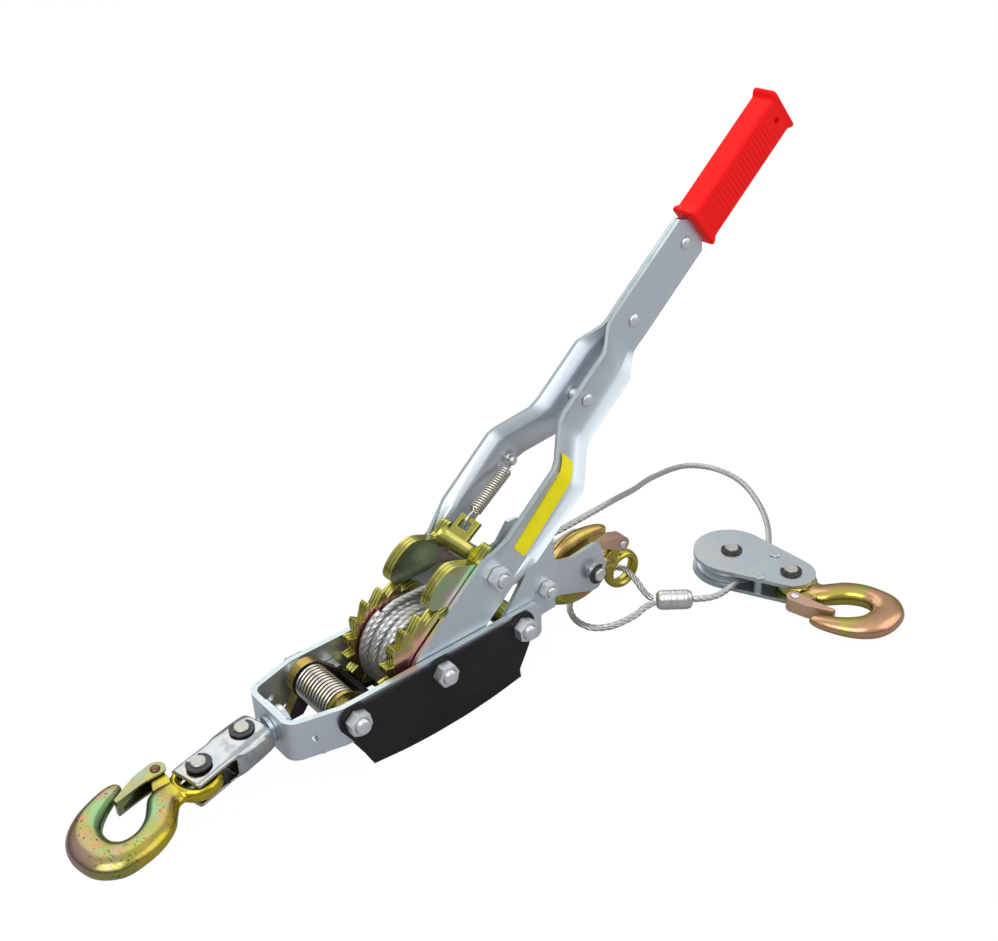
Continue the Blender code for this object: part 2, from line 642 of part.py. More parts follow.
def handle_leg(name: str, sign: int) -> None:
    """One pressed handle leg: flat at the axle, dished, then stepped in twice to the grip."""
    edge = [*mm((60, 20.0), (76, 19.6)), (92 * MM, LEG_HALF), (LEG_BENDS[7], LEG_HALF),
            *mm((275, 19.2), (351, 19.2)), (356 * MM, TANG_HALF), (LEG_TOP, TANG_HALF)]
    outline = arc((0.0, 0.0), LEG_END_RADIUS, 270, 90, 10) + edge + [(x, -y) for x, y in edge[::-1]]
    holes = [circle((0.0, 0.0), BOLT_RADIUS + GAP, 14), circle((PAWL_ALONG, 0.0), BOLT_RADIUS + GAP, 14)]
    holes += [circle((r, 0.0), RIVET_RADIUS + GAP, 10) for r in RIVET_ALONG]
    obj = add(name, prism(outline, -LEG_THICK, 0.0, holes=holes))
    across = [sign * w for w in LEG_CREASES for sign in (-1, 1)]
    bend(obj, [(0, r) for r in LEG_BENDS] + [(2, w) for w in across], leg_offset)
    for vert in obj.data.vertices:
        vert.co = along_handle(vert.co.x, vert.co.z, vert.co.y * sign)
    if sign < 0:
        obj.data.flip_normals()
    if name.endswith("far"):
        cut(obj, prism(circle(SCREW_AT, 2.0 * MM, 12), 10 * MM, 40 * MM))
    finish(obj, ZINC)


def leg_rivets() -> None:
    """Domed rivets through both legs; the lowest one has a thicker middle between them."""
    for k, r in enumerate(RIVET_ALONG):
        face = (LEG_MIDDLE if k == 0 else LEG_CLOSED) + GAP
        head = [(1.6 * MM, face + 2.6 * MM), (3.6 * MM, face + 2.0 * MM), (4.6 * MM, face)]
        shank = [(RIVET_RADIUS, face)]
        if k == 0:
            inner = LEG_MIDDLE - LEG_THICK - GAP
            shank += [(RIVET_RADIUS, inner), (5.0 * MM, inner)]
        half = head + shank
        profile = half + [(radius, -along) for radius, along in half[::-1]]
        rings = [[along_handle(u, v, along) for u, v in circle((r, 0.0), radius, 16)]
                 for radius, along in profile]
        finish(add(f"leg_rivet_{k + 1}", loft(rings)), BRIGHT)


def grip_ring(r: float, w: float, y: float) -> list[Vector]:
    """A rounded rectangle across the handle."""
    return [along_handle(r, *point) for point in oval(w, y, 0.45, 12)]


def grip() -> None:
    """The red hand grip: a collar, ribbed flanks and a flared end."""
    rings = [grip_ring(GRIP_LOW, 18.0 * MM, 10.0 * MM),
             grip_ring(GRIP_LOW + 1.5 * MM, 19.5 * MM, 11.5 * MM),
             grip_ring(GRIP_LOW + 6 * MM, 19.5 * MM, 11.5 * MM),
             grip_ring(GRIP_LOW + 9 * MM, 16.5 * MM, 9.6 * MM)]
    low, high = GRIP_LOW + 16 * MM, GRIP_HIGH - 26 * MM
    pitch = (high - low) / GRIP_RIBS
    for k in range(GRIP_RIBS):
        start = low + pitch * k
        rings += [grip_ring(start, 16.3 * MM, 9.4 * MM),
                  grip_ring(start + pitch * 0.35, 16.7 * MM, 10.2 * MM)]
    rings += [grip_ring(high, 16.3 * MM, 9.4 * MM),
              grip_ring(GRIP_HIGH - 8 * MM, 16.5 * MM, 9.8 * MM),
              grip_ring(GRIP_HIGH - 4 * MM, 19.0 * MM, 11.5 * MM),
              grip_ring(GRIP_HIGH - 1.2 * MM, 19.0 * MM, 11.5 * MM),
              grip_ring(GRIP_HIGH, 17.5 * MM, 10.0 * MM)]
    obj = add("grip", loft(rings))
    w, y = TANG_HALF + GAP, LEG_CLOSED + GAP
    socket = [[along_handle(r, *corner) for corner in ((-w, -y), (w, -y), (w, y), (-w, y))]
              for r in (GRIP_LOW - 5 * MM, LEG_TOP + GAP)]
    hole = [[along_handle(u, v, side) for u, v in circle((GRIP_HOLE, 0.0), 2.5 * MM, 12)]
            for side in (-20 * MM, 20 * MM)]
    cut(obj, loft(socket), loft(hole))
    finish(obj, RED)


def pawl_pivot() -> Point:
    """Where the pawl bolt crosses the handle, as (x, z)."""
    place = along_handle(PAWL_ALONG, 0.0, 0.0)
    return place.x, place.z


# ---------------------------------------------------------------- pawls

def drive_pawl() -> None:
    """Two fingers, the rolled web that joins them and the slotted spring tab."""
    x, z = pawl_pivot()
    low = mm((0.6, 45.5), (3.0, 41.8), (7.0, 40.9), (20.0, 39.2), (32.0, 39.4), (42.0, 41.0))
    high = mm((57.5, 66.0), (54.5, 68.2), (51.0, 66.8), (44.0, 61.0), (37.0, 62.2), (28.0, 65.6),
              (20.0, 66.4), (10.0, 61.0), (3.5, 54.5), (0.4, 49.0))
    outline = low + arc((x, z), PAWL_HUB, 215, 395, 10) + high
    hole = circle((x, z), BOLT_RADIUS + GAP, 20)
    obj = add("drive_pawl", prism(outline, -FINGER_OUTER, -FINGER_INNER, holes=[hole]))
    reach = FINGER_INNER + 2 * MM
    join(obj, prism(circle((48.2 * MM, 59.6 * MM), 6.2 * MM, 16), -reach, reach))
    join(obj, prism(outline, FINGER_INNER, FINGER_OUTER, holes=[hole]))
    tab = mm((46.9, 63.3), (49.1, 61.1), (64.3, 71.7), (62.5, 74.2))
    join(obj, prism(tab, -5 * MM, 15 * MM))
    slot = mm((52.6, 71.0), (59.0, 61.8), (64.0, 65.3), (57.7, 74.6))
    cut(obj, prism(slot, 1.0 * MM, 11.0 * MM))
    finish(obj, GREEN, (x, 0.0, z))


def pawl_hardware() -> None:
    """The bolt on which the drive pawl rocks, its nut, and the screw that holds the spring."""
    centre = pawl_pivot()
    face = LEG_OUTER + GAP
    bolt("pawl_bolt", centre, face, -(face + NUT_THICK + 1.6 * MM), BOLT_RADIUS, HEX_FLATS, HEAD_THICK)
    nut("pawl_nut", centre, -face, NUT_THICK, BOLT_RADIUS, HEX_FLATS)
    profile = mm((1.7, 31.6), (1.7, 21.4), (3.4, 21.2), (3.6, 20.4), (2.2, 19.0))
    finish(add("spring_screw", turned(profile, "Y", SCREW_AT, 14)), BRIGHT)


def pawl_spring() -> None:
    """The pull spring from the pawl's tab to the screw on the far leg."""
    low, high = (Vector(point) for point in mm((71.0, 9.5, 75.2), (109.2, 20.6, 87.4)))
    axis = (high - low).normalized()
    side = axis.orthogonal().normalized()
    other = axis.cross(side)
    points = [Vector(p) for p in mm((61.4, 6.0, 65.4), (58.6, 6.0, 66.6), (57.4, 6.0, 70.0),
                                    (59.2, 6.0, 73.6), (63.2, 6.4, 75.8), (67.0, 7.4, 76.4))]
    steps = 8
    count = PULL_TURNS * steps
    for i in range(count + 1):
        turn = 2 * pi * i / steps
        spoke = (side * cos(turn) + other * sin(turn)) * (PULL_RADIUS - PULL_WIRE)
        points.append(low.lerp(high, i / count) + spoke)
    points += [lift("Y", u, v, 24.2 * MM) for u, v in arc(SCREW_AT, 2.9 * MM, 200, -80, 6)]
    finish(add("pawl_spring", wire(points, PULL_WIRE, 5)), BRIGHT)


def stop_pawl() -> None:
    """Two gold arms on one sleeve, the black bar between them and the coil spring."""
    x = BOLT_X[0]
    outline = arc((x, 0.0), STOP_RING, 58, 218, 11)
    outline += mm((-88.6, -19.5)) + arc((-84.6 * MM, -24.6 * MM), 5.0 * MM, 170, 300, 5)
    outline += mm((-69.0, -13.4), (-57.0, -15.5), (-43.5, -19.6), (-41.2, -18.4), (-38.8, -13.6),
                  (-40.4, -9.4), (-47.0, -4.0), (-55.0, 3.5))
    hole = circle((x, 0.0), SPACER_RADIUS + GAP, 20)
    obj = add("stop_pawl", prism(outline, -STOP_OUTER, -FINGER_INNER, holes=[hole]))
    reach = FINGER_INNER + MM
    sleeve = [(SPACER_RADIUS + GAP, -reach), (SLEEVE_RADIUS, -reach), (SLEEVE_RADIUS, reach),
              (SPACER_RADIUS + GAP, reach)]
    join(obj, turned(sleeve, "Y", (x, 0.0), 20, ring=True))
    join(obj, prism(outline, FINGER_INNER, STOP_OUTER, holes=[hole]))
    join(obj, box(*mm((-54.0, 20.0, -5.5), (-44.0, 29.4, -3.6))))
    finish(obj, GOLD, (x, 0.0, 0.0))
    bar = mm((-48.0, -5.0), (-42.4, -7.2), (-43.2, -17.2), (-48.6, -15.0))
    inner = FINGER_INNER - GAP
    finish(add("stop_pawl_bar", prism(bar, -inner, inner)), BLACK, (x, 0.0, 0.0))
    steps = 10
    count = TORSION_TURNS * steps
    half = FINGER_INNER - TORSION_WIRE - 2 * GAP
    coil = circle((x, 0.0), TORSION_RADIUS, steps)
    points = [lift("Y", *coil[i % steps], -half + 2 * half * i / count) for i in range(count + 1)]
    finish(add("stop_pawl_spring", wire(points, TORSION_WIRE, 5)), BRIGHT, (x, 0.0, 0.0))


# ---------------------------------------------------------------- tail bracket

def tail_offset(point: Vector) -> float:
    """How far out the tail plate's outer face stands along its length."""
    offsets = (TAIL_WIDE, TAIL_FLAT, TAIL_FLAT, TAIL_NARROW)
    return blend(point.x, list(zip(TAIL_BENDS, offsets)))


def tail_bracket(name: str, sign: int) -> None:
    """One tail plate: a lug on the rear bolt, a joggle with a bolt and an ear for the tail pin."""
    outline = arc((BOLT_X[2], 0.0), 14.0 * MM, 270, 130, 8)
    outline += mm((75.0, 28.5), (80.4, 36.5), (86.0, 42.0), (91.0, 44.6), (116.0, 44.6),
                  (119.6, 41.5), (121.8, 34.0), (121.8, 21.0), (128.0, 16.2), (139.5, 13.5),
                  (162.0, 15.6), (167.5, 14.4), (174.3, -6.0), (171.5, -20.5), (166.0, -25.6),
                  (160.0, -25.8), (127.5, -13.5), (110.0, -12.5), (92.0, -13.5))
    holes = [circle((BOLT_X[2], 0.0), BOLT_RADIUS + GAP, 14),
             circle(TAIL_BOLT, TAIL_BOLT_RADIUS + GAP, 12),
             circle(TAIL_PIN, TAIL_PIN_RADIUS + GAP, 14)]
    obj = add(name, prism(outline, -TAIL_THICK, 0.0, holes=holes))
    bend(obj, [(0, x) for x in TAIL_BENDS], tail_offset)
    for vert in obj.data.vertices:
        vert.co.y *= sign
    if sign < 0:
        obj.data.flip_normals()
    finish(obj, ZINC)


def clip(obj: bpy.types.Object, axis: str, centre: Point, radius: float, low: float, high: float,
         facing: float) -> None:
    """Adds an open retaining clip round a pin."""
    outer = arc(centre, radius + 2.8 * MM, facing + 32, facing + 328, 10)
    inner = arc(centre, radius - 0.6 * MM, facing + 322, facing + 38, 8)
    join(obj, prism(outer + inner, low, high, axis))


def tail_fixings() -> None:
    """The bolt through the joggles and the pin through the ears."""
    face = TAIL_FLAT + GAP
    end = -(face + TAIL_NUT_THICK + TAIL_PROUD)
    bolt("tail_bolt", TAIL_BOLT, face, end, TAIL_BOLT_RADIUS, TAIL_FLATS, TAIL_HEAD_THICK)
    nut("tail_nut", TAIL_BOLT, -face, TAIL_NUT_THICK, TAIL_BOLT_RADIUS, TAIL_FLATS)
    face = TAIL_NARROW + GAP
    head = [(6.2 * MM, face + 2.6 * MM), (7.4 * MM, face + 2.0 * MM), (7.4 * MM, face),
            (TAIL_PIN_RADIUS, face), (TAIL_PIN_RADIUS, -face - 7.4 * MM),
            (TAIL_PIN_RADIUS - 0.8 * MM, -face - 8.2 * MM)]
    obj = add("tail_pin", turned(head, "Y", TAIL_PIN, 16))
    clip(obj, "Y", TAIL_PIN, TAIL_PIN_RADIUS, -face - 5.6 * MM, -face - 4.4 * MM, 20)
    finish(obj, BRIGHT, (TAIL_PIN[0], 0.0, TAIL_PIN[1]))


# ---------------------------------------------------------------- hooks

def hook_frame(eye: Sequence[float], along: Sequence[float], normal: Sequence[float]) -> Matrix:
    """A placement from the eye's middle, the direction from bowl to eye and the flat side's normal."""
    x = Vector(along).normalized()
    z = Vector(normal)
    z = (z - x * z.dot(x)).normalized()
    y = z.cross(x)
    matrix = Matrix((x, y, z)).transposed().to_4x4()
    matrix.translation = Vector(eye)
    return matrix


def hook(name: str, place: Matrix, pivot: Sequence[float]) -> None:
    """One cast hook: the bowl and shank, the eye ring and the lug for the latch."""
    rings: list[list[Vector]] = []
    for inner, outer, half in HOOK_SECTIONS:
        a, b = Vector(mm(inner)[0]), Vector(mm(outer)[0])
        middle, reach = (a + b) / 2, (b - a) / 2
        rings.append([(middle + reach * across).to_3d() + Vector((0.0, 0.0, up))
                      for across, up in oval(1.0, half * MM, 0.8, 10, shift=0.0)])
    obj = add(name, loft(rings))
    ring = [(EYE_RING + EYE_SECTION[0] * cos(2 * pi * i / 8), EYE_SECTION[1] * sin(2 * pi * i / 8))
            for i in range(8)]
    join(obj, turned(ring, "Z", (0.0, 0.0), 24, ring=True))
    cut(obj, prism(circle((0.0, 0.0), EYE_RING - EYE_SECTION[0] * 0.98, 24), -10 * MM, 10 * MM, "Z"))
    lug = [*arc(LATCH_PIVOT, 4.5 * MM, -20, 170, 8), *mm((-27.0, 6.0), (-13.0, 4.0))]
    join(obj, prism(lug, -LUG_HALF, LUG_HALF, "Z"))
    cut(obj, prism(circle(LATCH_PIVOT, LATCH_BORE, 12), -20 * MM, 20 * MM, "Z"))
    obj.data.transform(place)
    finish(obj, GOLD, pivot)


def latch(name: str, place: Matrix) -> None:
    """The pressed latch that closes the hook's mouth, and its rivet."""
    x, y = LATCH_PIVOT
    outline = [*arc(LATCH_PIVOT, 6.4 * MM, 100, -60, 10),
               *mm((-24.0, 14.6), (-31.0, 13.6), (-38.0, 12.0), (-46.9, 9.8), (-47.2, 13.0),
                   (-30.0, 23.2))]
    obj = add(name, prism(outline, -LATCH_HALF, LATCH_HALF, "Z"))
    hollow = mm((-17.6, 25.1), (-6.0, 25.1), (-6.0, 4.0), (-43.0, 4.0), (-43.0, 13.4), (-30.0, 21.5))
    inside = LATCH_HALF - 1.4 * MM
    cut(obj, prism(hollow, -inside, inside, "Z"))
    cut(obj, prism(circle(LATCH_PIVOT, LATCH_BORE, 12), -20 * MM, 20 * MM, "Z"))
    obj.data.transform(place)
    pivot = place @ Vector((x, y, 0.0))
    finish(obj, COPPER, pivot)
    half = LATCH_HALF + GAP
    end = [(2.0 * MM, half), (3.3 * MM, half), (3.3 * MM, half + 0.6 * MM),
           (2.6 * MM, half + 1.3 * MM)]
    rivet = [(radius, -along) for radius, along in end[::-1]] + end
    obj = add(f"{name}_rivet", turned(rivet, "Z", LATCH_PIVOT, 12))
    obj.data.transform(place)
    finish(obj, BRIGHT, pivot)


def hooks() -> None:
    """The anchor hook, the cable hook on the tail pin and the pulley hook, each with its latch."""
    anchor = hook_frame(ANCHOR_EYE, *ANCHOR_FACING)
    hook("anchor_hook", anchor, (*HOOK_PIN, ANCHOR_Z))
    latch("anchor_latch", anchor)
    tail = hook_frame(CABLE_HOOK_EYE, *CABLE_FACING)
    hook("cable_hook", tail, (TAIL_PIN[0], 0.0, TAIL_PIN[1]))
    latch("cable_latch", tail)
    pulley = hook_frame(PULLEY_EYE, *PULLEY_FACING)
    hook("pulley_hook", pulley, (*BLOCK_HOOK_PIN, PULLEY_EYE[2]))
    latch("pulley_latch", pulley)


# ---------------------------------------------------------------- front anchor

def link_place() -> Matrix:
    """The link's own frame: its X runs from the link pin to the hook pin."""
    angle = atan2(HOOK_PIN[1] - LINK_PIN[1], HOOK_PIN[0] - LINK_PIN[0])
    return Matrix.Translation((*LINK_PIN, ANCHOR_Z)) @ Matrix.Rotation(angle, 4, "Z")


def front_anchor() -> None:
    """The swivel stud, its washer, the clevis link and the two link pins."""
    head = FRAME_FRONT + FRAME_THICK + GAP
    y, z = WASHER_HALF
    square = [(-y, ANCHOR_Z - z), (y, ANCHOR_Z - z), (y, ANCHOR_Z + z), (-y, ANCHOR_Z + z)]
    bore = circle((0.0, ANCHOR_Z), STUD_RADIUS + GAP, 20)
    obj = add("swivel_washer", prism(square, head, head + WASHER_THICK, "X", holes=[bore]))
    finish(obj, BRIGHT)
    back = head + WASHER_THICK + GAP
    front = FRAME_FRONT - GAP
    shape = [(STUD_HEAD - MM, back + 4.6 * MM), (STUD_HEAD, back + 3.6 * MM), (STUD_HEAD, back),
             (STUD_RADIUS, back), (STUD_RADIUS, front), (STUD_COLLAR, front),
             (STUD_COLLAR, front - 2.6 * MM), (STUD_COLLAR - 3.3 * MM, front - 4.0 * MM)]
    obj = add("swivel_stud", turned(shape, "X", (0.0, ANCHOR_Z), 20))
    root = front - 2.0 * MM
    tongue = [*arc(LINK_PIN, TONGUE_RADIUS, 90, 270, 10), (root, LINK_PIN[1] - TONGUE_RADIUS),
              (root, LINK_PIN[1] + TONGUE_RADIUS)]
    join(obj, prism(tongue, ANCHOR_Z - TONGUE_HALF, ANCHOR_Z + TONGUE_HALF, "Z"))
    cut(obj, prism(circle(LINK_PIN, LINK_PIN_RADIUS + GAP, 20), -30 * MM, 30 * MM, "Z"))
    finish(obj, BRIGHT, (0.0, 0.0, ANCHOR_Z))
    rings = [[lift("X", y, z, along * MM) for y, z in oval(half * MM, high * MM, power, 20)]
             for along, half, high, power in LINK_SECTIONS]
    obj = add("swivel_link", loft(rings))
    cut(obj, box((-20 * MM, -12.4 * MM, -LINK_SLOT), (9.0 * MM, 12.4 * MM, LINK_SLOT)))
    cut(obj, box((17.5 * MM, -20 * MM, -LINK_SLOT), (60 * MM, 20 * MM, LINK_SLOT)))
    span = hypot(HOOK_PIN[0] - LINK_PIN[0], HOOK_PIN[1] - LINK_PIN[1])
    for u in (0.0, span):
        cut(obj, prism(circle((u, 0.0), LINK_PIN_RADIUS + GAP, 20), -30 * MM, 30 * MM, "Z"))
    obj.data.transform(link_place())
    finish(obj, BRIGHT, (*LINK_PIN, ANCHOR_Z))
    low, high = ANCHOR_Z - PIN_FACE, ANCHOR_Z + PIN_FACE
    shape = [(6.4 * MM, low - 1.8 * MM), (7.2 * MM, low - 1.2 * MM), (7.2 * MM, low),
             (LINK_PIN_RADIUS, low), (LINK_PIN_RADIUS, high + 2.0 * MM),
             (LINK_PIN_RADIUS - 0.7 * MM, high + 2.7 * MM)]
    for name, centre in (("link_pin", LINK_PIN), ("hook_pin", HOOK_PIN)):
        obj = add(name, turned(shape, "Z", centre, 16))
        clip(obj, "Z", centre, LINK_PIN_RADIUS, high, high + CLIP_THICK, 100)
        finish(obj, BRIGHT, (*centre, ANCHOR_Z))


# ---------------------------------------------------------------- pulley block

def capsule(first: Point, big: float, last: Point, small: float, steps: int) -> list[Point]:
    """The outline round two circles of different size."""
    dx, dy = last[0] - first[0], last[1] - first[1]
    facing = atan2(dy, dx) * 180 / pi
    lean = 90 - atan2(big - small, sqrt(dx * dx + dy * dy - (big - small) ** 2)) * 180 / pi
    return [*arc(first, big, facing + lean, facing + 360 - lean, steps),
            *arc(last, small, facing - lean, facing + lean, steps // 2)]


def pulley_block() -> None:
    """Two cheek plates, posts, the sheave and both pins."""
    outline = capsule(SHEAVE_PIN, BLOCK_BIG, BLOCK_HOOK_PIN, BLOCK_SMALL, 24)
    pins = [circle(centre, BLOCK_PIN_RADIUS + GAP, 14) for centre in (SHEAVE_PIN, BLOCK_HOOK_PIN)]
    post = 3.6 * MM
    obj = add("block_plate_lower", prism(outline, FLOOR, FLOOR + BLOCK_THICK, "Z", holes=pins))
    for centre in BLOCK_POSTS:
        shape = [(post, FLOOR + BLOCK_THICK - MM), (post, BLOCK_TOP + GAP), (4.8 * MM, BLOCK_TOP + GAP),
                 (4.8 * MM, BLOCK_TOP + 0.8 * MM), (4.2 * MM, BLOCK_TOP + 1.2 * MM)]
        join(obj, turned(shape, "Z", centre, 12))
    finish(obj, ZINC, (*SHEAVE_PIN, FLOOR))
    posts = [circle(centre, post + GAP, 12) for centre in BLOCK_POSTS]
    obj = add("block_plate_upper", prism(outline, BLOCK_TOP - BLOCK_THICK, BLOCK_TOP, "Z", holes=pins + posts))
    finish(obj, ZINC, (*SHEAVE_PIN, BLOCK_TOP))
    low, high = FLOOR + BLOCK_THICK + GAP, BLOCK_TOP - BLOCK_THICK - GAP
    middle = (low + high) / 2
    half = (high - low) / 2
    side = [(GROOVE_RADIUS, 2.6 * MM), (SHEAVE_RADIUS, half - 0.8 * MM), (SHEAVE_RADIUS, half),
            (BLOCK_PIN_RADIUS + GAP, half)]
    shape = [(radius, middle - along) for radius, along in side[::-1]]
    shape += [(radius, middle + along) for radius, along in side]
    sheave = add("sheave", turned(shape, "Z", SHEAVE_PIN, 28, ring=True))
    finish(sheave, ZINC, (*SHEAVE_PIN, middle))
    for name, centre, facing in (("sheave_pin", SHEAVE_PIN, 60), ("block_hook_pin", BLOCK_HOOK_PIN, 70)):
        obj = add(name, pin(BLOCK_PIN_RADIUS, FLOOR + 0.2 * MM, BLOCK_TOP + 3.6 * MM, "Z", centre))
        seat = BLOCK_TOP + GAP
        clip(obj, "Z", centre, BLOCK_PIN_RADIUS, seat, seat + CLIP_THICK, facing)
        finish(obj, BRIGHT, (*centre, BLOCK_TOP))


# ---------------------------------------------------------------- cable

def cable(name: str, route: Sequence[Sequence[float]], count: int) -> None:
    """A round cable along a smooth curve through its route."""
    curve = bpy.data.curves.new(name, "CURVE")
    curve.dimensions = "3D"
    curve.bevel_depth = CABLE_RADIUS
    curve.bevel_resolution = 2
    curve.use_fill_caps = True
    curve.render_resolution_u = 0
    points = spline(mm(*route), count)
    line = curve.splines.new("POLY")
    line.points.add(len(points) - 1)
    for point, place in zip(line.points, points):
        point.co = (*place, 1.0)
    obj = bpy.data.objects.new(name, curve)
    bpy.context.scene.collection.objects.link(obj)
    obj.location = SHIFT
    paint(obj, CABLE)


def cables() -> None:
    """The run from the drum to the ferrule, the eye through the cable hook and the ferrule."""
    cable("cable_run", RUN_ROUTE, RUN_POINTS)
    cable("cable_eye", EYE_ROUTE, EYE_POINTS)
    start, end = (Vector(p) for p in mm(*FERRULE_ENDS))
    length = (end - start).length
    shape = [(5.4 * MM, 0.0), (6.8 * MM, 0.8 * MM), (FERRULE_RADIUS, 2.4 * MM),
             (FERRULE_RADIUS, length - 2.4 * MM), (6.8 * MM, length - 0.8 * MM), (5.4 * MM, length)]
    obj = add("ferrule", turned(shape, "X", (0.0, 0.0), 18))
    obj.data.transform(hook_frame(start, end - start, (0.0, 0.0, 1.0)))
    finish(obj, ALLOY, start)


def main() -> None:
    """Builds every piece."""
    for obj in list(bpy.data.objects):
        bpy.data.objects.remove(obj)
    frame_yoke()
    drum_guard()
    cross_bolts()
    drum()
    handle_leg("handle_leg_near", -1)
    handle_leg("handle_leg_far", 1)
    leg_rivets()
    grip()
    drive_pawl()
    pawl_hardware()
    pawl_spring()
    stop_pawl()
    tail_bracket("tail_bracket_near", -1)
    tail_bracket("tail_bracket_far", 1)
    tail_fixings()
    front_anchor()
    hooks()
    pulley_block()
    cables()


main()
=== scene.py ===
"""Looks of the come along winch: a ratchet drum in a U frame, a long handle, hooks and a block.

Lengths in the classes are in millimetres in the winch's own frame: the drum axle is the origin,
+X points to the rear (cable) end, -Y to the near side and +Z up. place() puts them in the scene.
"""

import json
import logging
from dataclasses import dataclass
from enum import Enum
from math import atan2, cos, hypot, pi, radians, sin

import bmesh
import bpy
import numpy as np
from mathutils import Matrix, Vector


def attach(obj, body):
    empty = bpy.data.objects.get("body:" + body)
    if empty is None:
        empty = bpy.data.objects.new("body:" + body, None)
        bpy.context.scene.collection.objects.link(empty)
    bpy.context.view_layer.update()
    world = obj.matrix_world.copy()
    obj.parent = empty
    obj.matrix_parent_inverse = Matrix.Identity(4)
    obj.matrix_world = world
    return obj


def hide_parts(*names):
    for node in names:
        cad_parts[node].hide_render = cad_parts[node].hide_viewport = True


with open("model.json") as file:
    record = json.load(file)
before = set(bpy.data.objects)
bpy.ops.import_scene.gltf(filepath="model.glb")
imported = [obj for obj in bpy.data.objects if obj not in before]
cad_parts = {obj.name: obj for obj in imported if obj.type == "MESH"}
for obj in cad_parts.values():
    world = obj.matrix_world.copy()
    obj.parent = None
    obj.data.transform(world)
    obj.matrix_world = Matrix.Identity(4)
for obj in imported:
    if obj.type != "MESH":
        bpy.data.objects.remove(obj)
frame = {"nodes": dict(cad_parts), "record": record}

LOG = logging.getLogger("winch")
MM = 0.001
SHIFT = np.array((-0.0584, 0.0023, 0.048))
GAP = 0.3
CABLE_RADIUS = 2.5
HANDLE_ANGLE = radians(40.0)
LINK_PIN = (-131.0, -1.0)
HOOK_PIN = (-166.0, -10.0)
ANCHOR_Z = -5.0
SHEAVE_PIN = (283.1, -44.1)
BLOCK_HOOK_PIN = (293.4, -94.8)
BLOCK_MIDDLE = -39.5
BLOCK_TOP = -31.0
TAIL_PIN = (161.0, -8.0)
SCREW_AT = (115.2, 91.4)
PAWL_PIN = (55.08, 46.22)
STOP_PIN = (-70.0, 0.0)
LATCH_PIN = (-16.7, 20.2)       # in a hook's own frame
CABLE_LAY = 32.0                # the length of one turn of the strands
EDGE_ANGLE = 38.0               # degrees from which an edge stays sharp
CLIP_SWELL = 3.3                # how far a retaining clip stands out from its pin
RING_START, RING_WIDTH = 14.0, 24.0     # the radii over which the across attribute rises

Colour = tuple[float, float, float]
Array = np.ndarray

PIT_COLOUR: Colour = (0.05, 0.035, 0.015)
# painted shade for the grooves between a cable's strands
GROOVE_SHADE_COLOUR: Colour = (0.03, 0.03, 0.027)


class Axis(Enum):
    """The axis that a flat drawing lies across."""

    X = 0
    Y = 1
    Z = 2


# ---------------------------------------------------------------- shapes


@dataclass
class Shell:
    """A closed surface as arrays.

    Args:
        verts: (n, 3) points in millimetres in the winch's frame.
        faces: lists of point numbers.
        marks: (n,) values kept as a point attribute, or None.
        uv: (n, 2) values kept as a point attribute, or None.
    """

    verts: Array
    faces: list[list[int]]
    marks: Array | None = None
    uv: Array | None = None

    def placed(self, matrix: Matrix) -> "Shell":
        """The same shell, moved by a matrix in millimetres."""
        m = np.array(matrix)
        return Shell(self.verts @ m[:3, :3].T + m[:3, 3], self.faces, self.marks, self.uv)


def place(points: Array) -> Array:
    """Scene coordinates in metres of points in millimetres in the winch's frame."""
    return np.asarray(points, float) * MM + SHIFT


def unit(vectors: Array) -> Array:
    """Vectors scaled to length one, along the last axis."""
    return vectors / np.linalg.norm(vectors, axis=-1, keepdims=True)


def weave(rows: int, cols: int, wrap_rows: bool) -> Array:
    """Quads of a grid whose columns close on themselves.

    Args:
        rows: number of rings.
        cols: points in each ring.
        wrap_rows: whether the last ring joins the first.

    Returns:
        (m, 4) point numbers.
    """
    last = rows if wrap_rows else rows - 1
    r, c = np.meshgrid(np.arange(last), np.arange(cols), indexing="ij")
    ahead, beside = (r + 1) % rows, (c + 1) % cols
    quads = np.stack((r * cols + c, r * cols + beside, ahead * cols + beside, ahead * cols + c), -1)
    return quads.reshape(-1, 4)


def skin(grid: Array, ring: bool = False, marks: Array | None = None,
         uv: Array | None = None) -> Shell:
    """Closes a grid of rings into a shell, with flat caps unless the rings close on themselves.

    Args:
        grid: (rows, cols, 3) points.
        ring: whether the last ring joins the first.
        marks: (rows, cols) attribute values.
        uv: (rows, cols, 2) attribute values.

    Returns:
        The shell.
    """
    rows, cols = grid.shape[:2]
    faces = weave(rows, cols, ring).tolist()
    if not ring:
        faces += [list(range(cols)), list(range((rows - 1) * cols, rows * cols))]
    return Shell(grid.reshape(-1, 3), faces,
                 None if marks is None else marks.reshape(-1),
                 None if uv is None else uv.reshape(-1, 2))


def lifted(axis: Axis, u: Array, v: Array, along: Array) -> Array:
    """Points (u, v) of a drawing across an axis, at a distance along it.

    Args:
        axis: the axis that the drawing lies across.
        u: its first coordinate.
        v: its second coordinate.
        along: the distance along the axis.

    Returns:
        (..., 3) points.
    """
    order = {Axis.X: (along, u, v), Axis.Y: (u, along, v), Axis.Z: (u, v, along)}[axis]
    return np.stack(np.broadcast_arrays(*order), -1).astype(float)


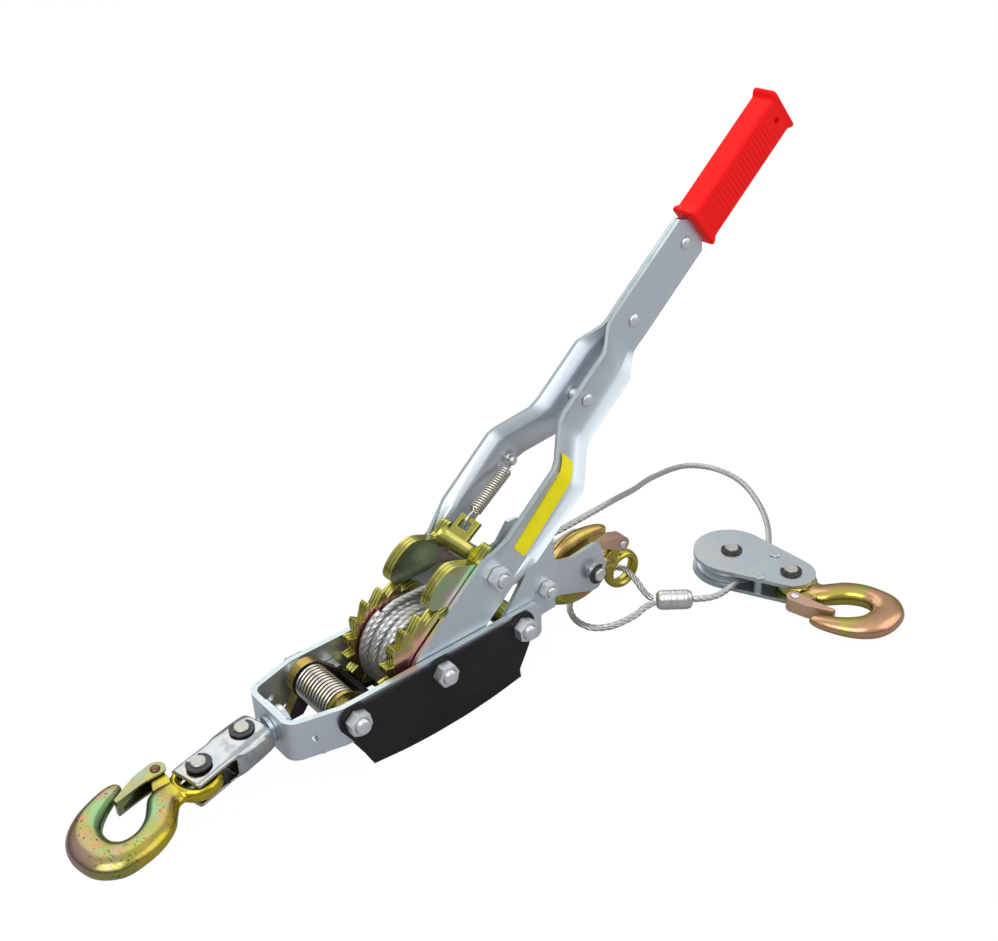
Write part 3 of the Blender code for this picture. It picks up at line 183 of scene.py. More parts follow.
def turned(profile: list[tuple[float, float]], axis: Axis, centre: tuple[float, float],
           steps: int = 48, ring: bool = False) -> Shell:
    """Turns a profile about an axis: each (radius, along) row becomes a circle.

    Args:
        profile: (radius, along) rows.
        axis: the axis of the turning.
        centre: where it crosses the drawing across it.
        steps: points in each circle.
        ring: whether the last row joins the first.

    Returns:
        The shell.
    """
    rows = np.array(profile, float)
    angle = np.linspace(0, 2 * pi, steps, endpoint=False)
    radius = rows[:, :1]
    return skin(lifted(axis, centre[0] + radius * np.cos(angle), centre[1] + radius * np.sin(angle),
                       rows[:, 1:]), ring)


def prism(outline: Array, low: float, high: float, axis: Axis) -> Shell:
    """A flat plate: its outline, drawn across an axis, at two heights along it.

    Args:
        outline: (n, 2) points.
        low: the first height.
        high: the second height.
        axis: the axis across the plate.

    Returns:
        The shell.
    """
    flat = np.asarray(outline, float)
    return skin(np.stack([lifted(axis, flat[:, 0], flat[:, 1], np.full(len(flat), h))
                          for h in (low, high)]))


def arc(centre: tuple[float, float], radius: float, start: float, end: float, count: int) -> Array:
    """Points on a circle between two angles.

    Args:
        centre: the circle's middle.
        radius: its radius.
        start: the first angle in degrees.
        end: the last angle in degrees.
        count: how many points come back.

    Returns:
        (count, 2) points.
    """
    angle = np.radians(np.linspace(start, end, count))
    return np.stack((centre[0] + radius * np.cos(angle), centre[1] + radius * np.sin(angle)), -1)


def smooth(points: Array, count: int) -> Array:
    """Evenly spread points on a Catmull-Rom curve through the given ones.

    Args:
        points: (n, d) points that the curve passes through.
        count: how many points come back.

    Returns:
        (count, d) points.
    """
    knots = np.asarray(points, float)
    knots = np.vstack((2 * knots[0] - knots[1], knots, 2 * knots[-1] - knots[-2]))
    a, b, c, d = (knots[i:len(knots) - 3 + i, None] for i in range(4))
    t = np.linspace(0, 1, 24, endpoint=False)[None, :, None]
    dense = (2 * b + (c - a) * t + (2 * a - 5 * b + 4 * c - d) * t ** 2
             + (3 * b - a - 3 * c + d) * t ** 3) / 2
    dense = np.vstack((dense.reshape(-1, knots.shape[1]), knots[-2]))
    run = np.concatenate(((0,), np.cumsum(np.linalg.norm(np.diff(dense, axis=0), axis=1))))
    goal = np.linspace(0, run[-1], count)
    return np.stack([np.interp(goal, run, column) for column in dense.T], -1)


def carried(path: Array) -> tuple[Array, Array]:
    """Two directions across a path at each point, carried along it without twist.

    Each direction is the one before it, less its share along the path's tangent.

    Args:
        path: (n, 3) points.

    Returns:
        Two (n, 3) arrays of unit vectors.
    """
    tangent = unit(np.gradient(path, axis=0))
    side = np.zeros_like(path)
    start = np.eye(3)[np.argmin(np.abs(tangent[0]))]
    side[0] = unit(start - tangent[0] * (start @ tangent[0]))
    for i in range(1, len(path)):  # each direction depends on the one before it
        side[i] = side[i - 1] - tangent[i] * (side[i - 1] @ tangent[i])
        side[i] /= np.linalg.norm(side[i])
    return side, np.cross(tangent, side)


def tube(path: Array, radius: float, sides: int = 12) -> Shell:
    """A round wire along a path: a circle across the path at each of its points.

    Args:
        path: (n, 3) points of its middle line.
        radius: the wire's radius.
        sides: points in each circle.

    Returns:
        The shell.
    """
    side, other = carried(path)
    angle = np.linspace(0, 2 * pi, sides, endpoint=False)[None, :, None]
    return skin(path[:, None] + radius * (side[:, None] * np.cos(angle)
                                          + other[:, None] * np.sin(angle)))


def rope(path: Array, radius: float, lay: float, sides: int = 36) -> Shell:
    """A stranded cable along a path: six round strands that turn once in each lay length.

    The section's radius is the outer envelope of six circles set on a ring, turned along the
    path by distance / lay. The mark is 0 in the grooves and 1 on the crowns, and the UV is the
    distance along in lays and the place across one strand.

    Args:
        path: (n, 3) points of its middle line.
        radius: the cable's outer radius.
        lay: the length of one turn of the strands.
        sides: points in each section.

    Returns:
        The shell, with its marks and UV.
    """
    side, other = carried(path)
    run = np.concatenate(((0,), np.cumsum(np.linalg.norm(np.diff(path, axis=0), axis=1))))
    angle = np.linspace(0, 2 * pi, sides, endpoint=False)[None, :]
    twist = 2 * pi * run[:, None] / lay
    local = (angle - twist + pi / 6) % (pi / 3) - pi / 6
    hub, strand = radius * 2 / 3, radius / 3
    reach = hub * np.cos(local) + np.sqrt(np.maximum(strand ** 2 - (hub * np.sin(local)) ** 2, 0.0))
    crown = (reach - reach.min()) / (reach.max() - reach.min())
    grid = path[:, None] + reach[..., None] * (side[:, None] * np.cos(angle)[..., None]
                                               + other[:, None] * np.sin(angle)[..., None])
    across = np.broadcast_to((angle - twist) * 3 / pi, reach.shape)
    uv = np.stack((np.broadcast_to(run[:, None] / lay, reach.shape), across), -1)
    return skin(grid, marks=crown, uv=uv)


def superellipse(half: float, high: float, power: float, count: int) -> Array:
    """A rounded rectangle: x = half |cos|^power, y = high |sin|^power, with their signs.

    Args:
        half: half its width.
        high: half its height.
        power: 1 for an ellipse and nearly 0 for a rectangle.
        count: how many points come back.

    Returns:
        (count, 2) points.
    """
    angle = 2 * pi * (np.arange(count) + 0.5) / count
    c, s = np.cos(angle), np.sin(angle)
    return np.stack((half * np.sign(c) * np.abs(c) ** power,
                     high * np.sign(s) * np.abs(s) ** power), -1)


def hexagon(flats: float, bore: float, low: float, high: float, centre: tuple[float, float],
            facing: int, turn: float = 0.0) -> Shell:
    """A hexagon along Y whose corners a shallow cone cuts at the side it faces.

    The radius is flats / 2 / cos(angle from the middle of a flat), and the height at that radius
    falls by tan 30 degrees beyond the circle that touches the flats.

    Args:
        flats: the width across the flats.
        bore: the bore's radius, or 0 for none.
        low: where it starts along Y.
        high: where it ends.
        centre: its axis as (x, z).
        facing: 1 where the cut side faces +Y, or -1.
        turn: how far it is turned, in radians.

    Returns:
        The shell.
    """
    angle = np.linspace(0, 2 * pi, 72, endpoint=False)
    corner = flats / 2 / np.cos((angle + turn) % (pi / 3) - pi / 6)
    inner = flats / 2 * 0.97
    face, back = (high, low) if facing > 0 else (low, high)
    rim = face - facing * (corner - inner) * np.tan(pi / 6)
    rows = [(np.full(72, bore), np.full(72, back)), (corner - 0.25, np.full(72, back)),
            (corner, np.full(72, back + facing * 0.25)), (corner, rim),
            (np.full(72, inner), np.full(72, face)), (np.full(72, bore), np.full(72, face))]
    grid = np.stack([lifted(Axis.Y, centre[0] + r * np.cos(angle), centre[1] + r * np.sin(angle), y)
                     for r, y in rows])
    return skin(grid, ring=bore > 0)


def thread(radius: float, pitch: float, low: float, high: float,
           centre: tuple[float, float]) -> Shell:
    """A threaded end along Y: the radius follows a triangle wave of distance and angle.

    Args:
        radius: the thread's outer radius.
        pitch: the thread's pitch.
        low: the free end.
        high: the other end.
        centre: its axis as (x, z).

    Returns:
        The shell.
    """
    angle = np.linspace(0, 2 * pi, 48, endpoint=False)[None, :]
    along = np.linspace(low, high, int(abs(high - low) / pitch * 10) + 2)[:, None]
    phase = (along / pitch - angle / (2 * pi)) % 1.0
    fade = np.clip((np.abs(along - low)) / 0.8, 0.0, 1.0)
    reach = radius - 0.55 * pitch * np.abs(2 * phase - 1) * 0.9 - 0.5 * (1 - fade)
    return skin(lifted(Axis.Y, centre[0] + reach * np.cos(angle), centre[1] + reach * np.sin(angle),
                       along))


def open_ring(centre: tuple[float, float], pin: float, low: float, high: float, axis: Axis,
              facing: float) -> Shell:
    """An open retaining clip: its outer and inner radius fall with a power of the angle.

    Args:
        centre: its middle across the axis.
        pin: the radius of the pin that it sits on.
        low: its lower face along the axis.
        high: its upper face.
        axis: the pin's axis.
        facing: the direction of its mouth, in degrees.

    Returns:
        The shell.
    """
    count = 48
    angle = np.radians(np.linspace(facing + 34, facing + 326, count))
    ease = np.abs(np.linspace(-1, 1, count))
    outer = pin + CLIP_SWELL - 0.6 * ease ** 4
    inner = pin - 0.3 - 0.5 * ease ** 6
    out = np.stack((centre[0] + outer * np.cos(angle), centre[1] + outer * np.sin(angle)), -1)
    back = np.stack((centre[0] + inner * np.cos(angle), centre[1] + inner * np.sin(angle)), -1)
    return prism(np.vstack((out, back[::-1])), low, high, axis)


# ---------------------------------------------------------------- objects


def assemble(name: str, *shells: Shell) -> bpy.types.Object:
    """Makes one object from shells, with its place in its mesh and its faces turned outward.

    Args:
        name: the object's name.
        shells: the closed surfaces that it is made of.

    Returns:
        The object, shaded and in the scene.
    """
    verts = np.vstack([place(shell.verts) for shell in shells])
    faces: list[list[int]] = []
    start = 0
    for shell in shells:
        faces += [[i + start for i in face] for face in shell.faces]
        start += len(shell.verts)
    mesh = bpy.data.meshes.new(name)
    mesh.from_pydata(verts.tolist(), [], faces)
    marks = np.concatenate([shell.marks if shell.marks is not None else np.ones(len(shell.verts))
                            for shell in shells])
    uv = np.vstack([shell.uv if shell.uv is not None else np.zeros((len(shell.verts), 2))
                    for shell in shells])
    mesh.attributes.new("crown", "FLOAT", "POINT").data.foreach_set("value", marks)
    layer = mesh.uv_layers.new(name="UVMap")
    corner = np.empty(len(mesh.loops), np.int32)
    mesh.loops.foreach_get("vertex_index", corner)
    layer.data.foreach_set("uv", uv[corner].reshape(-1))
    turn_outward(mesh)
    obj = bpy.data.objects.new(name, mesh)
    bpy.context.scene.collection.objects.link(obj)
    shade(obj, 40.0)
    return obj


def mark_rings(obj: bpy.types.Object, matrix: Matrix, centre: tuple[float, float],
               facing: float | None) -> None:
    """Marks how far each point lies from a ring's middle, and on which side.

    Args:
        obj: the piece.
        matrix: the ring's own frame in the winch's, in millimetres.
        centre: the ring's middle in that frame.
        facing: the direction in degrees where around is 1, or None for 1 everywhere.
    """
    flat = np.empty(len(obj.data.vertices) * 3)
    obj.data.vertices.foreach_get("co", flat)
    back = np.array(matrix.inverted())
    local = ((flat.reshape(-1, 3) - SHIFT) / MM) @ back[:3, :3].T + back[:3, 3]
    away = local[:, :2] - centre
    across = np.clip((np.hypot(away[:, 0], away[:, 1]) - RING_START) / RING_WIDTH, 0.0, 1.0)
    around = np.ones(len(across))
    if facing is not None:
        around = np.cos(np.arctan2(away[:, 1], away[:, 0]) - radians(facing))
    for name, values in (("across", across), ("around", around)):
        obj.data.attributes.new(name, "FLOAT", "POINT").data.foreach_set("value", values)


def turn_outward(mesh: bpy.types.Mesh) -> None:
    """Turns every face of a mesh outward.

    Args:
        mesh: the mesh.
    """
    bm = bmesh.new()
    bm.from_mesh(mesh)
    bmesh.ops.recalc_face_normals(bm, faces=bm.faces)
    bm.to_mesh(mesh)
    bm.free()


def shade(obj: bpy.types.Object, angle: float) -> None:
    """Shades an object smooth, with edges sharper than the angle in degrees kept."""
    obj.data.polygons.foreach_set("use_smooth", np.ones(len(obj.data.polygons), bool))
    obj.data.set_sharp_from_angle(angle=radians(angle))


def bevel(obj: bpy.types.Object, width: float) -> None:
    """Rounds an object's sharp edges in two steps.

    Args:
        obj: the piece.
        width: the rounding in millimetres.
    """
    modifier = obj.modifiers.new("bevel", "BEVEL")
    modifier.width = width * MM
    modifier.segments = 2
    modifier.limit_method = "ANGLE"
    modifier.angle_limit = radians(EDGE_ANGLE)
    modifier.use_clamp_overlap = True
    modifier.harden_normals = True


def apply_modifiers(obj: bpy.types.Object) -> None:
    """Replaces an object's mesh by what its modifiers give.

    Args:
        obj: the piece.
    """
    graph = bpy.context.evaluated_depsgraph_get()
    result = bpy.data.meshes.new_from_object(obj.evaluated_get(graph))
    obj.modifiers.clear()
    spent = obj.data
    obj.data = result
    bpy.data.meshes.remove(spent)


def cut(obj: bpy.types.Object, *shells: Shell) -> None:
    """Cuts shells from an object.

    Args:
        obj: the piece.
        shells: what is taken away, one after the other.
    """
    for shell in shells:
        tool = assemble("tool", shell)
        modifier = obj.modifiers.new("cut", "BOOLEAN")
        modifier.operation = "DIFFERENCE"
        modifier.solver = "EXACT"
        modifier.object = tool
        apply_modifiers(obj)
        spent = tool.data
        bpy.data.objects.remove(tool)
        bpy.data.meshes.remove(spent)


def cast(obj: bpy.types.Object, voxel: float, rounds: int) -> None:
    """Melts overlapping shells into one skin, as in a casting, and smooths it.

    Args:
        obj: the piece.
        voxel: the step of the new skin in millimetres.
        rounds: how often it is smoothed.
    """
    modifier = obj.modifiers.new("remesh", "REMESH")
    modifier.mode = "VOXEL"
    modifier.voxel_size = voxel * MM
    modifier.use_smooth_shade = True
    relax = obj.modifiers.new("relax", "SMOOTH")
    relax.factor = 0.5
    relax.iterations = rounds
    apply_modifiers(obj)


def body_of(node: str) -> str:
    """The body that a CAD node belongs to."""
    bodies = frame["record"]["behaviour"]["bodies"]
    return next(name for name, nodes in bodies.items() if node in nodes)


def stand_for(obj: bpy.types.Object, slot: str, *nodes: str) -> bpy.types.Object:
    """Lets a piece take the place of CAD nodes and ride with their body.

    Args:
        obj: the piece.
        slot: the material slot of the record; not used.
        nodes: the CAD nodes, all of one body.

    Returns:
        The piece.
    """
    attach(obj, body_of(nodes[0]))
    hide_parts(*nodes)
    LOG.info("%s: %d faces", obj.name, len(obj.data.polygons))
    return obj


def machined(node: str, width: float) -> bpy.types.Object:
    """A copy of a CAD node with clean flats and rounded edges, not yet dressed.

    Args:
        node: the CAD node.
        width: edge rounding in millimetres, or 0 for none.

    Returns:
        The new piece.
    """
    mesh = frame["nodes"][node].data.copy()
    mesh.name = f"{node}_piece"
    mesh.materials.clear()
    bm = bmesh.new()
    bm.from_mesh(mesh)
    bmesh.ops.remove_doubles(bm, verts=bm.verts, dist=1e-6)
    bmesh.ops.dissolve_limit(bm, angle_limit=radians(0.5), verts=bm.verts, edges=bm.edges)
    bm.to_mesh(mesh)
    bm.free()
    obj = bpy.data.objects.new(f"{node}_piece", mesh)
    bpy.context.scene.collection.objects.link(obj)
    shade(obj, EDGE_ANGLE)
    if width:
        bevel(obj, width)
    return obj


def riding(obj: bpy.types.Object, body: str) -> bpy.types.Object:
    """Lets a piece that stands for no CAD node ride with a body.

    Args:
        obj: the piece.
        body: the body's name.

    Returns:
        The piece.
    """
    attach(obj, body)
    return obj


def paint(obj: bpy.types.Object, face: bpy.types.Material, edge: bpy.types.Material | None = None,
          axis: Axis | None = None, edges_face_axis: bool = False) -> None:
    """Gives an object its finish, and a second one to the cut edges of its plate.

    Args:
        obj: the piece.
        face: the finish of the plate's faces.
        edge: the finish of its cut edges.
        axis: the direction across the plate, or along its cut edges' normals.
        edges_face_axis: whether the cut edges face the axis and not the plate.
    """
    obj.data.materials.clear()
    obj.data.materials.append(face)
    if edge is None or axis is None:
        return
    obj.data.materials.append(edge)
    normals = np.empty(len(obj.data.polygons) * 3)
    obj.data.polygons.foreach_get("normal", normals)
    facing = np.abs(normals.reshape(-1, 3)[:, axis.value]) > 0.6
    chosen = facing if edges_face_axis else ~facing
    obj.data.polygons.foreach_set("material_index", chosen.astype(np.int32))


# ---------------------------------------------------------------- finishes


def socket(tree: bpy.types.NodeTree, name: str, kind: str, output: bool = False,
           value: float | tuple[float, ...] | None = None) -> None:
    """Adds a named socket to a node group.

    Args:
        tree: the group.
        name: the socket's name.
        kind: its type.
        output: whether the group puts it out.
        value: its value where nothing is linked.
    """
    way = "OUTPUT" if output else "INPUT"
    item = tree.interface.new_socket(name=name, in_out=way, socket_type=kind)
    if value is not None:
        item.default_value = value


def remap(tree: bpy.types.NodeTree, source: bpy.types.NodeSocket, low: float, high: float,
          to_low: float = 0.0, to_high: float = 1.0) -> bpy.types.NodeSocket:
    """A smooth step of a value between two limits.

    Args:
        tree: the node tree.
        source: the value.
        low: where the step starts.
        high: where it ends.
        to_low: what it gives at the start.
        to_high: what it gives at the end.

    Returns:
        The stepped value.
    """
    node = tree.nodes.new("ShaderNodeMapRange")
    node.interpolation_type = "SMOOTHSTEP"
    tree.links.new(source, node.inputs["Value"])
    for label, number in (("From Min", low), ("From Max", high), ("To Min", to_low),
                          ("To Max", to_high)):
        node.inputs[label].default_value = number
    return node.outputs["Result"]


def noise(tree: bpy.types.NodeTree, scale: bpy.types.NodeSocket | float, detail: float,
          offset: tuple[float, float, float],
          stretch: tuple[float, float, float] = (1, 1, 1)) -> bpy.types.NodeSocket:
    """A noise value on object coordinates.

    Args:
        tree: the node tree.
        scale: how many cells come in a metre.
        detail: how many finer layers it has.
        offset: how far it is moved, so that two patterns differ.
        stretch: how it is scaled along each axis.

    Returns:
        The noise, 0 to 1.
    """
    place_node = tree.nodes.new("ShaderNodeTexCoord")
    mapping = tree.nodes.new("ShaderNodeMapping")
    mapping.inputs["Location"].default_value = offset
    mapping.inputs["Scale"].default_value = stretch
    texture = tree.nodes.new("ShaderNodeTexNoise")
    texture.inputs["Detail"].default_value = detail
    tree.links.new(place_node.outputs["Object"], mapping.inputs["Vector"])
    tree.links.new(mapping.outputs["Vector"], texture.inputs["Vector"])
    if isinstance(scale, float):
        texture.inputs["Scale"].default_value = scale
    else:
        tree.links.new(scale, texture.inputs["Scale"])
    return texture.outputs["Fac"]


def mixed(tree: bpy.types.NodeTree, fac: bpy.types.NodeSocket, a: bpy.types.NodeSocket,
          b: bpy.types.NodeSocket) -> bpy.types.NodeSocket:
    """Two colours mixed by a value.

    Args:
        tree: the node tree.
        fac: the share of the second colour.
        a: the first colour.
        b: the second colour.

    Returns:
        The mixed colour.
    """
    node = tree.nodes.new("ShaderNodeMix")
    node.data_type = "RGBA"
    tree.links.new(fac, node.inputs["Factor"])
    tree.links.new(a, node.inputs[6])
    tree.links.new(b, node.inputs[7])
    return node.outputs[2]


def calc(tree: bpy.types.NodeTree, operation: str,
         *values: bpy.types.NodeSocket | float) -> bpy.types.NodeSocket:
    """One step of arithmetic.

    Args:
        tree: the node tree.
        operation: what is done.
        values: sockets or numbers, in order.

    Returns:
        The result.
    """
    node = tree.nodes.new("ShaderNodeMath")
    node.operation = operation
    for entry, value in zip(node.inputs, values):
        if isinstance(value, float):
            entry.default_value = value
        else:
            tree.links.new(value, entry)
    return node.outputs[0]


def tone(tree: bpy.types.NodeTree, colour: Colour) -> bpy.types.NodeSocket:
    """A colour to mix with others.

    Args:
        tree: the node tree.
        colour: the colour.

    Returns:
        Its socket.
    """
    node = tree.nodes.new("ShaderNodeRGB")
    node.outputs[0].default_value = (*colour, 1.0)
    return node.outputs[0]


def attribute(tree: bpy.types.NodeTree, name: str) -> bpy.types.NodeSocket:
    """A value that the mesh carries at its points.

    Args:
        tree: the node tree.
        name: the attribute's name.

    Returns:
        Its socket.
    """
    node = tree.nodes.new("ShaderNodeAttribute")
    node.attribute_name = name
    return node.outputs["Fac"]


def patina_group() -> bpy.types.NodeTree:
    """Plating whose colour drifts in patches between a main colour and three others.

    Returns:
        The node group.
    """
    tree = bpy.data.node_groups.new("patina", "ShaderNodeTree")
    for name in ("Main", "Drift A", "Drift B", "Drift C"):
        socket(tree, name, "NodeSocketColor")
    socket(tree, "Patch Scale", "NodeSocketFloat", value=60.0)
    socket(tree, "Drift", "NodeSocketFloat", value=1.0)
    socket(tree, "Pits", "NodeSocketFloat", value=0.0)
    socket(tree, "Color", "NodeSocketColor", output=True)
    entry = tree.nodes.new("NodeGroupInput")
    leave = tree.nodes.new("NodeGroupOutput")
    colour = entry.outputs["Main"]
    spread = ((0.47, 0.66, (0.0, 0.0, 0.0)), (0.52, 0.68, (0.31, 0.17, 0.53)),
              (0.54, 0.70, (0.77, 0.41, 0.11)))
    for name, (low, high, offset) in zip(("Drift A", "Drift B", "Drift C"), spread):
        patch = remap(tree, noise(tree, entry.outputs["Patch Scale"], 2.5, offset), low, high)
        power = calc(tree, "MULTIPLY", patch, entry.outputs["Drift"])
        colour = mixed(tree, power, colour, entry.outputs[name])
    speck = remap(tree, noise(tree, 620.0, 1.5, (0.2, 0.6, 0.4)), 0.61, 0.67)
    cluster = remap(tree, noise(tree, 80.0, 2.0, (0.9, 0.1, 0.3)), 0.38, 0.56)
    depth = calc(tree, "MULTIPLY", calc(tree, "MULTIPLY", speck, cluster), entry.outputs["Pits"])
    dark = tone(tree, PIT_COLOUR)
    tree.links.new(mixed(tree, depth, colour, dark), leave.inputs["Color"])
    return tree


def surface_group() -> bpy.types.NodeTree:
    """Fine grain and soft scuffs: a roughness that varies and a height for bump.

    Returns:
        The node group.
    """
    tree = bpy.data.node_groups.new("surface", "ShaderNodeTree")
    socket(tree, "Roughness", "NodeSocketFloat", value=0.3)
    socket(tree, "Variation", "NodeSocketFloat", value=0.1)
    socket(tree, "Grain Scale", "NodeSocketFloat", value=600.0)
    socket(tree, "Roughness", "NodeSocketFloat", output=True)
    socket(tree, "Height", "NodeSocketFloat", output=True)
    entry = tree.nodes.new("NodeGroupInput")
    leave = tree.nodes.new("NodeGroupOutput")
    scuff = noise(tree, 70.0, 4.0, (0.5, 0.2, 0.8), (1.0, 1.0, 3.0))
    rough = calc(tree, "MULTIPLY_ADD", calc(tree, "SUBTRACT", scuff, 0.5), entry.outputs["Variation"],
                 entry.outputs["Roughness"])
    tree.links.new(rough, leave.inputs["Roughness"])
    tree.links.new(noise(tree, entry.outputs["Grain Scale"], 3.0, (0.1, 0.9, 0.4)),
                   leave.inputs["Height"])
    return tree


@dataclass(frozen=True)
class Finish:
    """A plated, painted or moulded surface.

    Args:
        name: the material's name.
        colours: the main colour and three that it drifts to.
        patch: how many patches of drift come in a metre.
        drift: how far the colour drifts, 0 to 1.
        metallic: 0 or 1.
        roughness: the mean roughness.
        variation: how much the roughness varies.
        grain: how many grains come in a metre.
        bump: the height of the grain in millimetres.
        pits: how dark the small pits are.
        specular: how strongly a surface that isn't metal reflects.
    """

    name: str
    colours: tuple[Colour, Colour, Colour, Colour]
    patch: float = 60.0
    drift: float = 1.0
    metallic: float = 1.0
    roughness: float = 0.3
    variation: float = 0.15
    grain: float = 700.0
    bump: float = 0.02
    pits: float = 0.0
    specular: float = 0.5

    def build(self) -> bpy.types.Material:
        """Makes the material.

        Returns:
            The material, made once for each name.
        """
        if self.name in bpy.data.materials:
            return bpy.data.materials[self.name]
        material = bpy.data.materials.new(self.name)
        material.use_nodes = True
        tree = material.node_tree
        shader = tree.nodes["Principled BSDF"]
        colour = tree.nodes.new("ShaderNodeGroup")
        colour.node_tree = bpy.data.node_groups["patina"]
        for label, value in zip(("Main", "Drift A", "Drift B", "Drift C"), self.colours):
            colour.inputs[label].default_value = (*value, 1.0)
        colour.inputs["Patch Scale"].default_value = self.patch
        colour.inputs["Drift"].default_value = self.drift
        colour.inputs["Pits"].default_value = self.pits
        tree.links.new(self.tinted(tree, colour.outputs["Color"]), shader.inputs["Base Color"])
        wear = tree.nodes.new("ShaderNodeGroup")
        wear.node_tree = bpy.data.node_groups["surface"]
        wear.inputs["Roughness"].default_value = self.roughness
        wear.inputs["Variation"].default_value = self.variation
        wear.inputs["Grain Scale"].default_value = self.grain
        tree.links.new(wear.outputs["Roughness"], shader.inputs["Roughness"])
        relief = tree.nodes.new("ShaderNodeBump")
        relief.inputs["Strength"].default_value = 1.0
        relief.inputs["Distance"].default_value = self.bump * MM
        tree.links.new(self.height(tree, wear.outputs["Height"]), relief.inputs["Height"])
        tree.links.new(relief.outputs["Normal"], shader.inputs["Normal"])
        shader.inputs["Metallic"].default_value = self.metallic
        shader.inputs["Specular IOR Level"].default_value = self.specular
        return material

    def tinted(self, tree: bpy.types.NodeTree,
               colour: bpy.types.NodeSocket) -> bpy.types.NodeSocket:
        """The colour as it is."""
        return colour

    def height(self, tree: bpy.types.NodeTree,
               grain: bpy.types.NodeSocket) -> bpy.types.NodeSocket:
        """The grain as it is."""
        return grain


@dataclass(frozen=True)
class RingFinish(Finish):
    """Plating whose colour follows the part: inside a ring, and on two sides of its outside.

    Args:
        inner: the colour on the inner side.
        outer: the colour on the outer side, where the around attribute is high.
        rim: the colour on the outer side, where it is low.
        reach: where along the across attribute the outer side starts and is full.
    """

    inner: Colour = (0.5, 0.5, 0.5)
    outer: Colour = (0.5, 0.5, 0.5)
    rim: Colour = (0.5, 0.5, 0.5)
    reach: tuple[float, float] = (0.45, 0.85)

    def tinted(self, tree: bpy.types.NodeTree,
               colour: bpy.types.NodeSocket) -> bpy.types.NodeSocket:
        """The colour, mixed with the three others by the across and around attributes.

        Args:
            tree: the material's nodes.
            colour: the patina's colour.

        Returns:
            The mixed colour.
        """
        across, around = attribute(tree, "across"), attribute(tree, "around")
        ragged = calc(tree, "MULTIPLY_ADD", noise(tree, 70.0, 2.0, (0.3, 0.7, 0.1)), 0.5,
                      calc(tree, "ADD", across, -0.25))
        out = remap(tree, ragged, *self.reach)
        inside = remap(tree, ragged, 0.42, 0.12, 0.0, 0.8)
        for side, low, high in ((self.outer, 0.1, 0.7), (self.rim, 0.0, -0.6)):
            share = calc(tree, "MULTIPLY", out, remap(tree, around, low, high, 0.0, 0.8))
            colour = mixed(tree, share, colour, tone(tree, side))
        return mixed(tree, inside, colour, tone(tree, self.inner))


@dataclass(frozen=True)
class StrandFinish(Finish):
    """Bare wires: painted shade in the grooves between strands, with fine wires along each strand."""

    def tinted(self, tree: bpy.types.NodeTree,
               colour: bpy.types.NodeSocket) -> bpy.types.NodeSocket:
        """The colour, with painted shade where the crown attribute is low, in the grooves."""
        # painted shade: the groove colour where the crown attribute is low
        lift = remap(tree, attribute(tree, "crown"), 0.12, 0.9)
        return mixed(tree, lift, tone(tree, GROOVE_SHADE_COLOUR), colour)

    def height(self, tree: bpy.types.NodeTree,
               grain: bpy.types.NodeSocket) -> bpy.types.NodeSocket:
        """Ridges along each strand: a triangle wave of 5 v - 14 u of its UV map.

        Args:
            tree: the material's nodes.
            grain: the surface's grain, which isn't used.

        Returns:
            The height.
        """
        place_node = tree.nodes.new("ShaderNodeUVMap")
        place_node.uv_map = "UVMap"
        split = tree.nodes.new("ShaderNodeSeparateXYZ")
        tree.links.new(place_node.outputs["UV"], split.inputs["Vector"])
        lean = calc(tree, "MULTIPLY_ADD", split.outputs["X"], -14.0,
                    calc(tree, "MULTIPLY", split.outputs["Y"], 5.0))
        return calc(tree, "PINGPONG", lean, 0.5)


